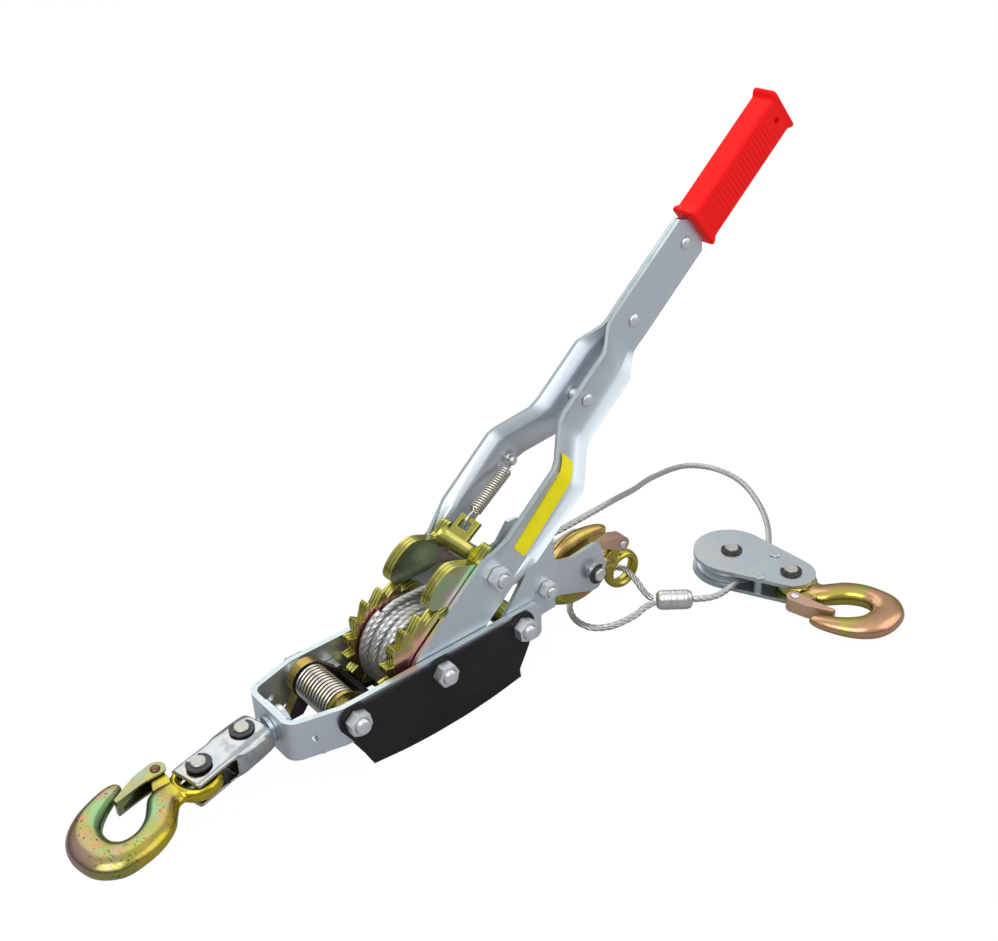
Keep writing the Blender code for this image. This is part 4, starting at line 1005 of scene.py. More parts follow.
class Finishes(Enum):
    """Every finish of the winch."""

    ZINC = Finish("zinc", ((0.31, 0.38, 0.41), (0.24, 0.34, 0.42), (0.38, 0.37, 0.40),
                           (0.40, 0.44, 0.40)), 20.0, 1.0, roughness=0.24, bump=0.012)
    ZINC_EDGE = Finish("zinc_edge", ((0.50, 0.57, 0.58), (0.54, 0.62, 0.60), (0.42, 0.50, 0.56),
                                     (0.58, 0.62, 0.60)), 60.0, 0.8, roughness=0.34, bump=0.02)
    PALE_ZINC = Finish("pale_zinc", ((0.60, 0.64, 0.65), (0.54, 0.62, 0.68), (0.64, 0.63, 0.60),
                                     (0.58, 0.64, 0.62)), 36.0, 0.9, roughness=0.34, bump=0.02)
    LINK = Finish("link_steel", ((0.48, 0.50, 0.50), (0.40, 0.44, 0.47), (0.54, 0.50, 0.42),
                                 (0.30, 0.32, 0.34)), 80.0, 1.0, roughness=0.20, variation=0.2,
                  grain=130.0, bump=0.34)
    PIN_END = Finish("pin_end", ((0.52, 0.51, 0.47), (0.58, 0.57, 0.52), (0.48, 0.47, 0.43),
                                 (0.56, 0.53, 0.48)), 160.0, 1.0, roughness=0.5, bump=0.03)
    BRIGHT = Finish("bright_zinc", ((0.66, 0.67, 0.66), (0.54, 0.58, 0.61), (0.72, 0.70, 0.65),
                                    (0.50, 0.52, 0.52)), 150.0, 1.0, roughness=0.2, bump=0.03)
    HOOK_GOLD = RingFinish("hook_gold", ((0.34, 0.33, 0.09), (0.50, 0.27, 0.13), (0.27, 0.38, 0.13),
                                         (0.34, 0.33, 0.27)), 85.0, 1.0, roughness=0.22, bump=0.06,
                           pits=1.0, inner=(0.24, 0.44, 0.20), outer=(0.44, 0.26, 0.26),
                           rim=(0.60, 0.47, 0.02))
    HOOK_ROSE = RingFinish("hook_rose", ((0.58, 0.34, 0.19), (0.52, 0.46, 0.08), (0.66, 0.31, 0.23),
                                         (0.44, 0.42, 0.10)), 85.0, 1.0, roughness=0.25, bump=0.05,
                           pits=0.35, inner=(0.48, 0.44, 0.07), outer=(0.66, 0.35, 0.22),
                           rim=(0.56, 0.48, 0.08))
    HOOK_AMBER = RingFinish("hook_amber", ((0.52, 0.43, 0.08), (0.60, 0.31, 0.16), (0.46, 0.46, 0.09),
                                           (0.58, 0.40, 0.14)), 85.0, 1.0, roughness=0.24, bump=0.05,
                            pits=0.35, inner=(0.50, 0.44, 0.07), outer=(0.58, 0.38, 0.14),
                            rim=(0.54, 0.47, 0.07))
    WHEEL_FACE = RingFinish("wheel_face", ((0.70, 0.30, 0.28), (0.62, 0.34, 0.27), (0.66, 0.28, 0.30),
                                           (0.56, 0.44, 0.24)), 35.0, 0.8, roughness=0.26, bump=0.02,
                            inner=(0.66, 0.28, 0.27), outer=(0.42, 0.44, 0.11),
                            rim=(0.40, 0.44, 0.10), reach=(0.72, 0.90))
    PAWL_FACE = Finish("pawl_face", ((0.42, 0.48, 0.30), (0.58, 0.42, 0.42), (0.28, 0.52, 0.28),
                                     (0.44, 0.42, 0.10)), 42.0, 1.0, roughness=0.26, bump=0.02)
    WHEEL_EDGE = Finish("wheel_edge", ((0.48, 0.45, 0.10), (0.40, 0.42, 0.09), (0.56, 0.50, 0.16),
                                       (0.36, 0.35, 0.07)), 60.0, 1.0, roughness=0.24, bump=0.02)
    SLEEVE_GOLD = Finish("sleeve_gold", ((0.42, 0.31, 0.07), (0.38, 0.32, 0.08), (0.48, 0.26, 0.12),
                                         (0.34, 0.30, 0.10)), 60.0, 1.0, roughness=0.3, bump=0.03)
    COPPER = Finish("copper_zinc", ((0.66, 0.42, 0.28), (0.60, 0.36, 0.28), (0.62, 0.50, 0.24),
                                    (0.56, 0.44, 0.30)), 90.0, 1.0, roughness=0.34, bump=0.03)
    LATCH_GREEN = Finish("latch_green", ((0.34, 0.35, 0.17), (0.30, 0.38, 0.29), (0.44, 0.40, 0.10),
                                         (0.36, 0.30, 0.22)), 90.0, 1.0, roughness=0.28, bump=0.03)
    DARK_RIVET = Finish("dark_rivet", ((0.22, 0.12, 0.06), (0.28, 0.18, 0.08), (0.14, 0.08, 0.05),
                                       (0.20, 0.16, 0.08)), 260.0, 1.0, roughness=0.35)
    BLACK = Finish("black_coat", ((0.010, 0.010, 0.011), (0.013, 0.013, 0.014),
                                  (0.008, 0.008, 0.009), (0.012, 0.012, 0.012)), 40.0, 1.0, 0.0,
                   roughness=0.42, variation=0.2, grain=1100.0, bump=0.03, specular=0.22)
    # real black for the clips, and painted shade on the stop pawl's sleeve
    CLIP_BLACK_AND_SHADE = Finish("clip_black_and_shade", ((0.015, 0.014, 0.014), (0.03, 0.028, 0.026),
                                       (0.010, 0.010, 0.010), (0.02, 0.02, 0.02)), 300.0, 1.0, 0.0,
                        roughness=0.35)
    RED = Finish("red_vinyl", ((1.0, 0.006, 0.005), (0.95, 0.005, 0.005), (1.0, 0.008, 0.007),
                               (0.97, 0.006, 0.005)), 30.0, 1.0, 0.0, roughness=0.42,
                 variation=0.12, grain=900.0, bump=0.03, specular=0.14)
    YELLOW = Finish("yellow_strip", ((0.96, 0.84, 0.004), (0.92, 0.80, 0.004), (1.0, 0.88, 0.01),
                                     (0.94, 0.80, 0.006)), 40.0, 1.0, 0.0, roughness=0.4,
                    specular=0.2)
    ALLOY = Finish("pressed_alloy", ((0.66, 0.66, 0.65), (0.60, 0.61, 0.62), (0.72, 0.71, 0.69),
                                     (0.58, 0.58, 0.57)), 150.0, 1.0, roughness=0.36, bump=0.06)
    CABLE = StrandFinish("cable_steel", ((0.50, 0.49, 0.45), (0.42, 0.41, 0.38),
                                         (0.56, 0.55, 0.52), (0.46, 0.44, 0.38)), 200.0, 1.0,
                         roughness=0.34, bump=0.12)
    SPRING = Finish("spring_wire", ((0.74, 0.70, 0.62), (0.66, 0.61, 0.54), (0.74, 0.64, 0.46),
                                    (0.70, 0.70, 0.68)), 90.0, 1.0, roughness=0.2, bump=0.0)

    def material(self) -> bpy.types.Material:
        """The finish's material."""
        return self.value.build()


def dressed(node: str, slot: str, finish: Finishes, width: float) -> bpy.types.Object:
    """A rounded copy of a CAD node in one finish, in the node's place.

    Args:
        node: the CAD node.
        slot: the material slot of the record.
        finish: its finish.
        width: edge rounding in millimetres.

    Returns:
        The new piece.
    """
    obj = machined(node, width)
    paint(obj, finish.material())
    return stand_for(obj, slot, node)


def clip_on(name: str, body: str, shell: Shell) -> bpy.types.Object:
    """A black retaining clip.

    Args:
        name: the piece's name.
        body: the body that it rides on.
        shell: its shape.

    Returns:
        The new piece.
    """
    clip = assemble(name, shell)
    bevel(clip, 0.2)
    paint(clip, Finishes.CLIP_BLACK_AND_SHADE.material())
    return riding(clip, body)


# ---------------------------------------------------------------- sub-assemblies


@dataclass
class Studio:
    """The camera of the photograph, a pale floor and soft lights.

    Args:
        turn: the camera's angle round the winch in degrees.
        lift: its height angle in degrees.
        roll: its roll in degrees.
        focal: its focal length in pixels.
        middle: the pixel that its axis meets.
        size: the picture's size in pixels.
        eye: its place in metres.
    """

    turn: float = -39.09
    lift: float = 28.29
    roll: float = -2.53
    focal: float = 1269.07
    middle: tuple[float, float] = (500.27, 427.52)
    size: tuple[int, int] = (998, 941)
    eye: tuple[float, float, float] = (-0.4432, -0.5795, 0.5881)

    def camera(self) -> None:
        """Places the camera from its angles."""
        a, e, r = radians(self.turn), radians(self.lift), radians(self.roll)
        right = Vector((cos(a), sin(a), 0.0))
        back = Vector((sin(a) * cos(e), -cos(a) * cos(e), sin(e)))
        up = back.cross(right)
        across = right * cos(r) + up * sin(r)
        above = up * cos(r) - right * sin(r)
        data = bpy.data.cameras.new("camera")
        data.sensor_width = 36.0
        data.lens = self.focal * data.sensor_width / self.size[0]
        data.shift_x = (self.size[0] / 2 - self.middle[0]) / self.size[0]
        data.shift_y = (self.middle[1] - self.size[1] / 2) / self.size[0]
        data.clip_start, data.clip_end = 0.05, 50.0
        obj = bpy.data.objects.new("camera", data)
        matrix = Matrix((across, above, back)).transposed().to_4x4()
        matrix.translation = Vector(self.eye)
        obj.matrix_world = matrix
        bpy.context.scene.collection.objects.link(obj)
        bpy.context.scene.camera = obj

    def floor(self) -> None:
        """A pale floor that looks white to the camera and keeps soft shadows."""
        half = 12.0
        mesh = bpy.data.meshes.new("floor")
        mesh.from_pydata([(-half, -half, 0.0), (half, -half, 0.0), (half, half, 0.0),
                          (-half, half, 0.0)], [], [(0, 1, 2, 3)])
        obj = bpy.data.objects.new("floor", mesh)
        bpy.context.scene.collection.objects.link(obj)
        material = bpy.data.materials.new("floor")
        material.use_nodes = True
        tree = material.node_tree
        shader = tree.nodes["Principled BSDF"]
        shader.inputs["Base Color"].default_value = (0.40, 0.40, 0.41, 1.0)
        shader.inputs["Roughness"].default_value = 0.9
        shader.inputs["Specular IOR Level"].default_value = 0.0
        glow = tree.nodes.new("ShaderNodeEmission")
        glow.inputs["Color"].default_value = (1.0, 1.0, 1.0, 1.0)
        glow.inputs["Strength"].default_value = 1.06
        path = tree.nodes.new("ShaderNodeLightPath")
        mix = tree.nodes.new("ShaderNodeMixShader")
        tree.links.new(calc(tree, "MULTIPLY", path.outputs["Is Camera Ray"], 0.92),
                       mix.inputs["Fac"])
        tree.links.new(shader.outputs["BSDF"], mix.inputs[1])
        tree.links.new(glow.outputs["Emission"], mix.inputs[2])
        tree.links.new(mix.outputs["Shader"], tree.nodes["Material Output"].inputs["Surface"])
        obj.data.materials.append(material)

    def sky(self) -> None:
        """A grey surround with a bright ceiling for what the metal reflects."""
        world = bpy.data.worlds.new("world")
        bpy.context.scene.world = world
        world.use_nodes = True
        tree = world.node_tree
        back = tree.nodes["Background"]
        place_node = tree.nodes.new("ShaderNodeTexCoord")
        split = tree.nodes.new("ShaderNodeSeparateXYZ")
        tree.links.new(place_node.outputs["Generated"], split.inputs["Vector"])
        ramp = tree.nodes.new("ShaderNodeValToRGB")
        ramp.color_ramp.elements[0].position = 0.02
        ramp.color_ramp.elements[0].color = (0.11, 0.12, 0.13, 1.0)
        ramp.color_ramp.elements[1].position = 1.0
        ramp.color_ramp.elements[1].color = (0.98, 0.99, 1.0, 1.0)
        middle = ramp.color_ramp.elements.new(0.5)
        middle.color = (0.58, 0.60, 0.62, 1.0)
        tree.links.new(split.outputs["Z"], ramp.inputs["Fac"])
        path = tree.nodes.new("ShaderNodeLightPath")
        tree.links.new(mixed(tree, path.outputs["Is Camera Ray"], ramp.outputs["Color"],
                             tone(tree, (1.0, 1.0, 1.0))), back.inputs["Color"])

    def light(self, name: str, spot: tuple[float, float, float], size: float, watts: float) -> None:
        """A square area light that faces the winch.

        Args:
            name: its name.
            spot: its place in metres.
            size: its side in metres.
            watts: its power.
        """
        data = bpy.data.lights.new(name, "AREA")
        data.size = size
        data.energy = watts
        obj = bpy.data.objects.new(name, data)
        obj.location = spot
        away = Vector(spot) - Vector((0.0, 0.0, 0.08))
        obj.rotation_euler = away.to_track_quat("Z", "Y").to_euler()
        bpy.context.scene.collection.objects.link(obj)

    def build(self) -> None:
        """Sets the whole studio."""
        self.camera()
        self.floor()
        self.sky()
        self.light("key", (-1.3, -0.9, 1.9), 2.0, 27.0)
        self.light("fill", (1.5, -1.4, 1.2), 2.0, 13.0)
        self.light("rim", (0.6, 1.7, 1.6), 2.0, 12.0)
        bpy.context.scene.view_settings.view_transform = "Standard"


@dataclass
class Cables:
    """The cable's free run, its eye and the ferrule that holds it.

    Args:
        run_route: from the drum, over the tail bracket and round the sheave to the ferrule.
        eye_route: from the ferrule, through the cable hook's eye and back.
        ferrule_ends: the two ends of the ferrule.
    """

    run_route: tuple[tuple[float, float, float], ...] = (
        (-14.2, 6.0, 32.6), (-7.8, 6.0, 34.85), (0.0, 6.0, 35.65), (22.0, 6.0, 35.0),
        (60.0, 6.0, 31.8), (100.0, 6.0, 28.6), (140.0, 6.2, 26.4), (172.0, 7.4, 26.0),
        (201.0, 12.5, 22.5), (222.0, 22.0, 14.6), (258.0, 40.0, -0.8), (292.0, 57.0, -13.2),
        (322.0, 69.0, -24.0), (346.0, 76.5, -32.0), (368.0, 79.0, -39.0), (385.0, 70.0, -43.6),
        (391.0, 52.0, -45.2), (387.0, 30.0, -45.2), (374.5, 5.5, -45.0), (357.0, -18.0, -43.4),
        (337.0, -38.0, -40.6), (318.0, -53.5, -39.5), (300.5, -64.4, -39.5), (283.1, -67.6, -39.5),
        (268.0, -67.4, -39.5), (254.0, -68.6, -39.8), (241.0, -68.8, -40.1), (231.0, -65.6, -40.2),
        (221.9, -59.1, -40.2))
    eye_route: tuple[tuple[float, float, float], ...] = (
        (201.4, -37.6, -40.2), (199.6, -34.6, -39.8), (200.4, -27.0, -38.0), (203.0, -14.0, -33.6),
        (203.0, -2.5, -31.2), (198.0, 8.0, -34.4), (185.0, 13.4, -41.0), (168.0, 13.0, -45.0),
        (152.0, 4.0, -45.4), (143.5, -12.0, -45.4), (146.0, -27.0, -45.4), (158.0, -36.5, -44.8),
        (176.0, -40.8, -42.8), (189.0, -40.6, -41.0), (197.4, -41.8, -40.2))
    ferrule_ends: tuple[tuple[float, float, float], ...] = (
        (221.4, -58.6, -40.2), (200.6, -40.8, -40.2))

    def strand(self, name: str, node: str, route: tuple[tuple[float, float, float], ...],
               count: int, on_it: list[bpy.types.Object]) -> None:
        """One length of cable, declared as a free cord with the pieces on it.

        Args:
            name: the piece's name.
            node: the CAD node that it stands for.
            route: the points that its middle line passes through.
            count: how many sections it has.
            on_it: the pieces that the cord carries; not used.
        """
        path = smooth(np.array(route), count)
        obj = assemble(name, rope(path, CABLE_RADIUS, CABLE_LAY))
        paint(obj, Finishes.CABLE.material())
        stand_for(obj, "cable_steel", node)

    def ferrule(self) -> bpy.types.Object:
        """The pressed sleeve: a radius that follows the distance along it.

        The radius rises over the first 5.5 mm from each end as a quarter ellipse, and falls in
        four narrow bell curves, two beside its middle and two further out.

        Returns:
            The sleeve.
        """
        start, end = (np.array(p) for p in self.ferrule_ends)
        length = float(np.linalg.norm(end - start))
        t = np.linspace(0.0, 1.0, 60)
        rise = np.clip(np.minimum(t, 1 - t) * length / 5.5, 0, 1)
        radius = 4.2 + 3.2 * np.sqrt(1 - (1 - rise) ** 2)
        radius -= 0.22 * np.exp(-((np.abs(t - 0.5) * length - 2.2) / 0.5) ** 2)
        radius -= 0.12 * np.exp(-((np.abs(t - 0.5) * length - 7.6) / 0.6) ** 2)
        direction = Vector(end - start).normalized()
        turn = direction.to_track_quat("X", "Z").to_matrix().to_4x4()
        turn.translation = Vector(start)
        angle = np.linspace(0, 2 * pi, 48, endpoint=False)
        press = 1.0 - 0.05 * np.cos(2 * angle)
        reach = radius[:, None] * press
        grid = lifted(Axis.X, reach * np.cos(angle), reach * np.sin(angle), (t * length)[:, None])
        obj = assemble("ferrule_sleeve", skin(grid).placed(turn))
        paint(obj, Finishes.ALLOY.material())
        return stand_for(obj, "alloy", "ferrule")

    def build(self, on_run: list[bpy.types.Object], on_eye: list[bpy.types.Object]) -> None:
        """Makes the cable with the pieces on it.

        Args:
            on_run: the pieces that the long cord carries, apart from the ferrule.
            on_eye: the pieces that the eye carries.
        """
        sleeve = self.ferrule()
        self.strand("free_cable", "cable_run", self.run_route, 700, [sleeve, *on_run])
        self.strand("eye_cable", "cable_eye", self.eye_route, 260, on_eye)


@dataclass
class Fastener:
    """A hexagon bolt with its nut along Y.

    Args:
        bolt: the bolt's CAD node.
        nut: the nut's CAD node.
        centre: its axis as (x, z).
        face: the distance of both seats from the middle.
        radius: the shank's radius.
        flats: the hexagon's width across flats.
        head: the head's thickness.
        nut_high: the nut's thickness.
        proud: how far the thread stands out of the nut.
        turn: how the nut is turned, in degrees.
    """

    bolt: str
    nut: str
    centre: tuple[float, float]
    face: float
    radius: float = 5.0
    flats: float = 15.0
    head: float = 6.2
    nut_high: float = 7.6
    proud: float = 3.2
    turn: float = 12.0

    def build(self) -> None:
        """Makes the bolt and the nut."""
        end = -(self.face + self.nut_high + self.proud)
        shank = turned([(self.radius, self.face), (self.radius, -self.face - 1.0)], Axis.Y,
                       self.centre)
        bolt = assemble(f"{self.bolt}_piece",
                        hexagon(self.flats, 0.0, self.face, self.face + self.head, self.centre, 1,
                                radians(7.0)),
                        shank, thread(self.radius, 1.5, end, -self.face, self.centre))
        paint(bolt, Finishes.BRIGHT.material())
        stand_for(bolt, "bright_zinc", self.bolt)
        nut = assemble(f"{self.nut}_piece",
                       hexagon(self.flats, self.radius + GAP, -self.face - self.nut_high,
                               -self.face, self.centre, -1, radians(self.turn)))
        bevel(nut, 0.2)
        paint(nut, Finishes.BRIGHT.material())
        stand_for(nut, "bright_zinc", self.nut)


@dataclass
class Body:
    """The U frame, the black guard, the tail bracket and their bolts.

    Args:
        face: from the middle plane to the seats of the cross bolts.
        near_ear: the outer face of the bracket's near ear along Y.
        trim: what is cut from the far tail plate's front top corner.
        flat: what is cut from the top of the far guard's front lobe.
    """

    face: float = 36.6
    near_ear: float = -13.3
    trim: tuple[tuple[float, float], ...] = ((60.0, 13.0), (80.0, 13.0), (111.0, 50.0), (60.0, 50.0))
    flat: tuple[tuple[float, float], ...] = ((-90.0, 9.6), (-50.0, 9.6), (-50.0, 16.0), (-90.0, 16.0))

    def fasteners(self) -> None:
        """All the bolts and nuts."""
        for name, x, turn in (("front", -70.0, 20.0), ("axle", 0.0, 3.0), ("rear", 70.0, 24.0)):
            Fastener(f"{name}_bolt", f"{name}_nut", (x, 0.0), self.face, head=3.2, turn=turn).build()
        Fastener("pawl_bolt", "pawl_nut", PAWL_PIN, 29.7, proud=1.6, turn=8.0).build()
        Fastener("tail_bolt", "tail_nut", (105.0, 8.0), 22.3, 4.0, 12.6, 5.2, 6.4, 2.2, 4.0).build()

    def tail_pin(self) -> None:
        """The pin through the ears, with a head, a thin ring and a black clip."""
        near = self.near_ear
        body = turned([(5.8, 15.9), (6.9, 15.6), (7.4, 15.2), (7.4, 13.3), (5.0, 13.3), (5.0, near - 4.2),
                       (4.4, near - 4.4), (4.4, near - 5.6), (5.0, near - 5.8), (5.0, near - 7.6),
                       (4.4, near - 8.2)], Axis.Y, TAIL_PIN)
        ring = turned([(5.1, near - 0.1), (6.6, near - 0.1), (6.6, near - 0.7), (5.1, near - 0.7)],
                      Axis.Y, TAIL_PIN, ring=True)
        pin = assemble("tail_pin_piece", body, ring)
        bevel(pin, 0.15)
        paint(pin, Finishes.BRIGHT.material())
        stand_for(pin, "bright_zinc", "tail_pin")
        clip_on("tail_clip", "frame",
                open_ring(TAIL_PIN, 5.0, near - 5.6, near - 4.4, Axis.Y, 20.0))

    def build(self) -> None:
        """Makes the plates and their fixings."""
        face, edge = Finishes.ZINC.material(), Finishes.ZINC_EDGE.material()
        yoke = machined("frame_yoke", 0.5)
        paint(yoke, face, edge, Axis.Z, True)
        stand_for(yoke, "zinc", "frame_yoke")
        for node in ("tail_bracket_near", "tail_bracket_far"):
            plate = machined(node, 0.0)
            if node == "tail_bracket_far":
                cut(plate, prism(np.array(self.trim), 5.0, 40.0, Axis.Y))
            shade(plate, EDGE_ANGLE)
            bevel(plate, 0.4)
            paint(plate, face, edge, Axis.Y)
            stand_for(plate, "zinc", node)
        guard = machined("drum_guard", 0.0)
        cut(guard, prism(np.array(self.flat), 30.0, 40.0, Axis.Y))
        shade(guard, EDGE_ANGLE)
        bevel(guard, 0.35)
        paint(guard, Finishes.BLACK.material())
        stand_for(guard, "black_steel", "drum_guard")
        dressed("front_spacer", "bright_zinc", Finishes.BRIGHT, 0.3)
        dressed("rear_spacer", "green_zinc", Finishes.WHEEL_EDGE, 0.3)
        self.fasteners()
        self.tail_pin()


@dataclass
class Drum:
    """The ratchet wheels and the wound cable.

    Args:
        half: half the width between the wheels.
        outer: the radius of the outer layer's middle line.
        inner: the radius of the layer under it.
        turns: the turns of the outer layer.
    """

    half: float = 16.6
    outer: float = 30.4
    inner: float = 26.2
    turns: float = 5.6

    def layer(self, radius: float, turns: float, start: float, wander: float) -> Shell:
        """One layer of cable: a helix whose place across the drum drifts with the angle.

        Args:
            radius: the radius of its middle line.
            turns: how many turns it has.
            start: its first angle in radians.
            wander: how far it drifts to the side.

        Returns:
            The shell.
        """
        count = int(turns * 130)
        t = np.linspace(0.0, 1.0, count)
        angle = start + 2 * pi * turns * t
        reach = self.half - CABLE_RADIUS - 0.2
        across = reach * (1 - 2 * t) + wander * np.sin(angle * 1.5 + 0.6) * np.sin(pi * t)
        path = lifted(Axis.Y, radius * np.cos(angle), radius * np.sin(angle), across)
        return rope(path, CABLE_RADIUS, CABLE_LAY, 30)

    def build(self) -> None:
        """Makes the wheels, the core and the cable on it."""
        face, edge = Finishes.WHEEL_FACE.material(), Finishes.WHEEL_EDGE.material()
        for side in ("near", "far"):
            for letter in "abc":
                wheel = machined(f"ratchet_{side}_{letter}", 0.45)
                mark_rings(wheel, Matrix.Rotation(-pi / 2, 4, "X"), (0.0, 0.0), None)
                paint(wheel, face, edge, Axis.Y)
                stand_for(wheel, "green_zinc", f"ratchet_{side}_{letter}")
        dressed("drum_core", "bright_zinc", Finishes.BRIGHT, 0.3)
        bed = turned([(13.4, -self.half), (25.0, -self.half), (25.0, self.half), (13.4, self.half)],
                     Axis.Y, (0.0, 0.0), ring=True)
        # painted shade: zero marks give the bed under the layers the full groove shade colour, seen as
        # shade between the turns
        bed.marks = np.zeros(len(bed.verts))
        coil = assemble("cable_coil", bed, self.layer(self.inner + 1.0, 7.0, 0.4, 0.3),
                        self.layer(self.outer, self.turns, 2.0, 1.4))
        paint(coil, Finishes.CABLE.material())
        stand_for(coil, "cable_steel", "wound_cable")


@dataclass
class Handle:
    """The two legs, their rivets, the red grip and the yellow strip.

    Args:
        rivets: the rivets' places along the handle.
        grip_low: where the grip starts.
        grip_high: where it ends.
        ribs: how many ribs it has.
        rib_low: where the ribs start.
        rib_high: where they end.
        strip: the strip's ends along the handle.
    """

    rivets: tuple[float, float, float] = (209.0, 276.0, 344.0)
    grip_low: float = 357.0
    grip_high: float = 468.0
    ribs: int = 17
    rib_low: float = 382.0
    rib_high: float = 446.0
    strip: tuple[float, float] = (94.0, 167.0)

    def frame_matrix(self) -> Matrix:
        """The handle's own frame in the winch's.

        Returns:
            Its matrix, with X along the handle, Y sideways and Z forward and up.
        """
        a = HANDLE_ANGLE
        return Matrix(((cos(a), 0.0, -sin(a), 0.0), (0.0, 1.0, 0.0, 0.0), (sin(a), 0.0, cos(a), 0.0),
                       (0.0, 0.0, 0.0, 1.0)))

    def rivet(self, number: int, along: float) -> None:
        """A domed rivet: its head's radius falls as an ellipse.

        Args:
            number: the rivet's number in the CAD.
            along: its place along the handle.
        """
        face = (8.5 if number == 1 else 3.15) + GAP
        t = np.linspace(0, pi / 2, 8)
        dome = [(4.9 * cos(a), face + 2.5 * sin(a)) for a in t[:-1]] + [(0.3, face + 2.5)]
        half = dome[::-1] + [(3.0, face)] if number != 1 else dome[::-1] + [(3.0, face), (3.0, 5.2),
                                                                            (5.0, 5.0)]
        profile = half + [(radius, -y) for radius, y in half[::-1]]
        piece = turned(profile, Axis.Y, (along, 0.0), 32).placed(self.frame_matrix())
        obj = assemble(f"rivet_{number}", piece)
        paint(obj, Finishes.BRIGHT.material())
        stand_for(obj, "bright_zinc", f"leg_rivet_{number}")

    def grip(self) -> None:
        """The grip: a box with rounded edges, lips at both ends and a ribbed panel on each side.

        The section is a rounded rectangle: flats evenly spread and a quarter circle at each
        corner. Its height follows two rounded lips; its sides carry raised ribs, whose profile
        is the positive half of a cosine wave along the grip, faded out towards the edges.
        """
        rows, flat, round_steps = 560, 22, 9
        along = np.linspace(self.grip_low, self.grip_high, rows)[:, None]
        from_low, from_high = along - self.grip_low, self.grip_high - along
        lip = np.exp(-(from_low / 5.2) ** 4) + np.exp(-(from_high / 5.2) ** 4)
        high, wide = 16.2 + 3.1 * lip, 9.7 + 0.35 * lip
        ends = np.clip(np.minimum(from_low, from_high) / 1.8, 0.0, 1.0)
        inset = 1.8 * (1 - np.sqrt(1 - (1 - ends) ** 2))
        high, wide = high - inset, wide - inset
        ramp = np.linspace(-1.0, 1.0, flat, endpoint=False)
        level = np.ones(flat)
        sweep = np.linspace(0.0, pi / 2, round_steps, endpoint=False)
        parts = []
        for quarter, (sx, sy) in enumerate(((1, 1), (-1, 1), (-1, -1), (1, -1))):
            bend = sweep + quarter * pi / 2
            parts.append((np.full(round_steps, sx), np.full(round_steps, sy), np.cos(bend),
                          np.sin(bend)))
            zero = 0.0 * level
            parts.append(((-ramp, level, zero, level), (-level, -ramp, -level, zero),
                          (ramp, -level, zero, -level), (level, ramp, level, zero))[quarter])
        sx, sy, cx, cy = (np.concatenate(column) for column in zip(*parts))
        pitch = (self.rib_high - self.rib_low) / self.ribs
        wave = np.clip(np.cos(2 * pi * (along - self.rib_low) / pitch), 0.0, 1.0) ** 0.6
        wave = wave * ((along > self.rib_low - pitch / 4) & (along < self.rib_high + pitch / 4))
        panel = np.clip((0.84 - np.abs(sx)) / 0.06, 0.0, 1.0) * (np.abs(cy) > 0.99)
        edge = 2.4
        w = sx * (high - edge) + edge * cx
        y = sy * (wide - edge) + edge * cy + np.sign(cy) * 0.42 * wave * panel
        grid = np.stack(np.broadcast_arrays(along, y, w), -1)
        obj = assemble("grip_sleeve", skin(grid).placed(self.frame_matrix()))
        tang = np.array(((-12.8, -3.45), (12.8, -3.45), (12.8, 3.45), (-12.8, 3.45)))
        sleeve = np.stack([np.stack((np.full(4, r), tang[:, 1], tang[:, 0]), -1)
                           for r in (350.0, 446.3)])
        cut(obj, skin(sleeve).placed(self.frame_matrix()),
            turned([(2.5, -20.0), (2.5, 20.0)], Axis.Y, (456.0, 0.0), 24).placed(self.frame_matrix()))
        shade(obj, 42.0)
        paint(obj, Finishes.RED.material())
        stand_for(obj, "red_grip", "grip")

    def label(self) -> None:
        """A plain yellow strip that lies on the near leg and follows its first bend.

        Its rows run along the handle; its distance from the middle plane follows the leg's outer
        face, and its two long edges lean a little towards the front.
        """
        low, high = self.strip
        r = np.linspace(low, high, 90)[:, None]
        face = np.interp(r, (150.0, 155.0, 160.0, 180.0, 186.0), (29.4, 28.9, 26.4, 12.6, 9.6))
        share = np.clip(np.minimum(r - low, high - r) / 1.6, 0.0, 1.0)
        half = 7.4 - 1.6 * (1 - np.sqrt(1 - (1 - share) ** 2))
        middle = -5.6 + 4.6 * (r - low) / (high - low)
        across = np.array((-1.0, -0.5, 0.0, 0.5, 1.0, 1.0, 0.5, 0.0, -0.5, -1.0))
        lift = np.array((0.42,) * 5 + (0.05,) * 5)
        grid = np.stack(np.broadcast_arrays(r, -(face + lift), middle + half * across), -1)
        obj = assemble("yellow_strip", skin(grid).placed(self.frame_matrix()))
        paint(obj, Finishes.YELLOW.material())
        riding(obj, "handle")

    def build(self) -> None:
        """Makes the whole handle."""
        face, edge = Finishes.ZINC.material(), Finishes.ZINC_EDGE.material()
        for side in ("near", "far"):
            leg = machined(f"handle_leg_{side}", 0.4)
            paint(leg, face, edge, Axis.Y)
            stand_for(leg, "zinc", f"handle_leg_{side}")
        for number, along in enumerate(self.rivets, 1):
            self.rivet(number, along)
        self.grip()
        self.label()


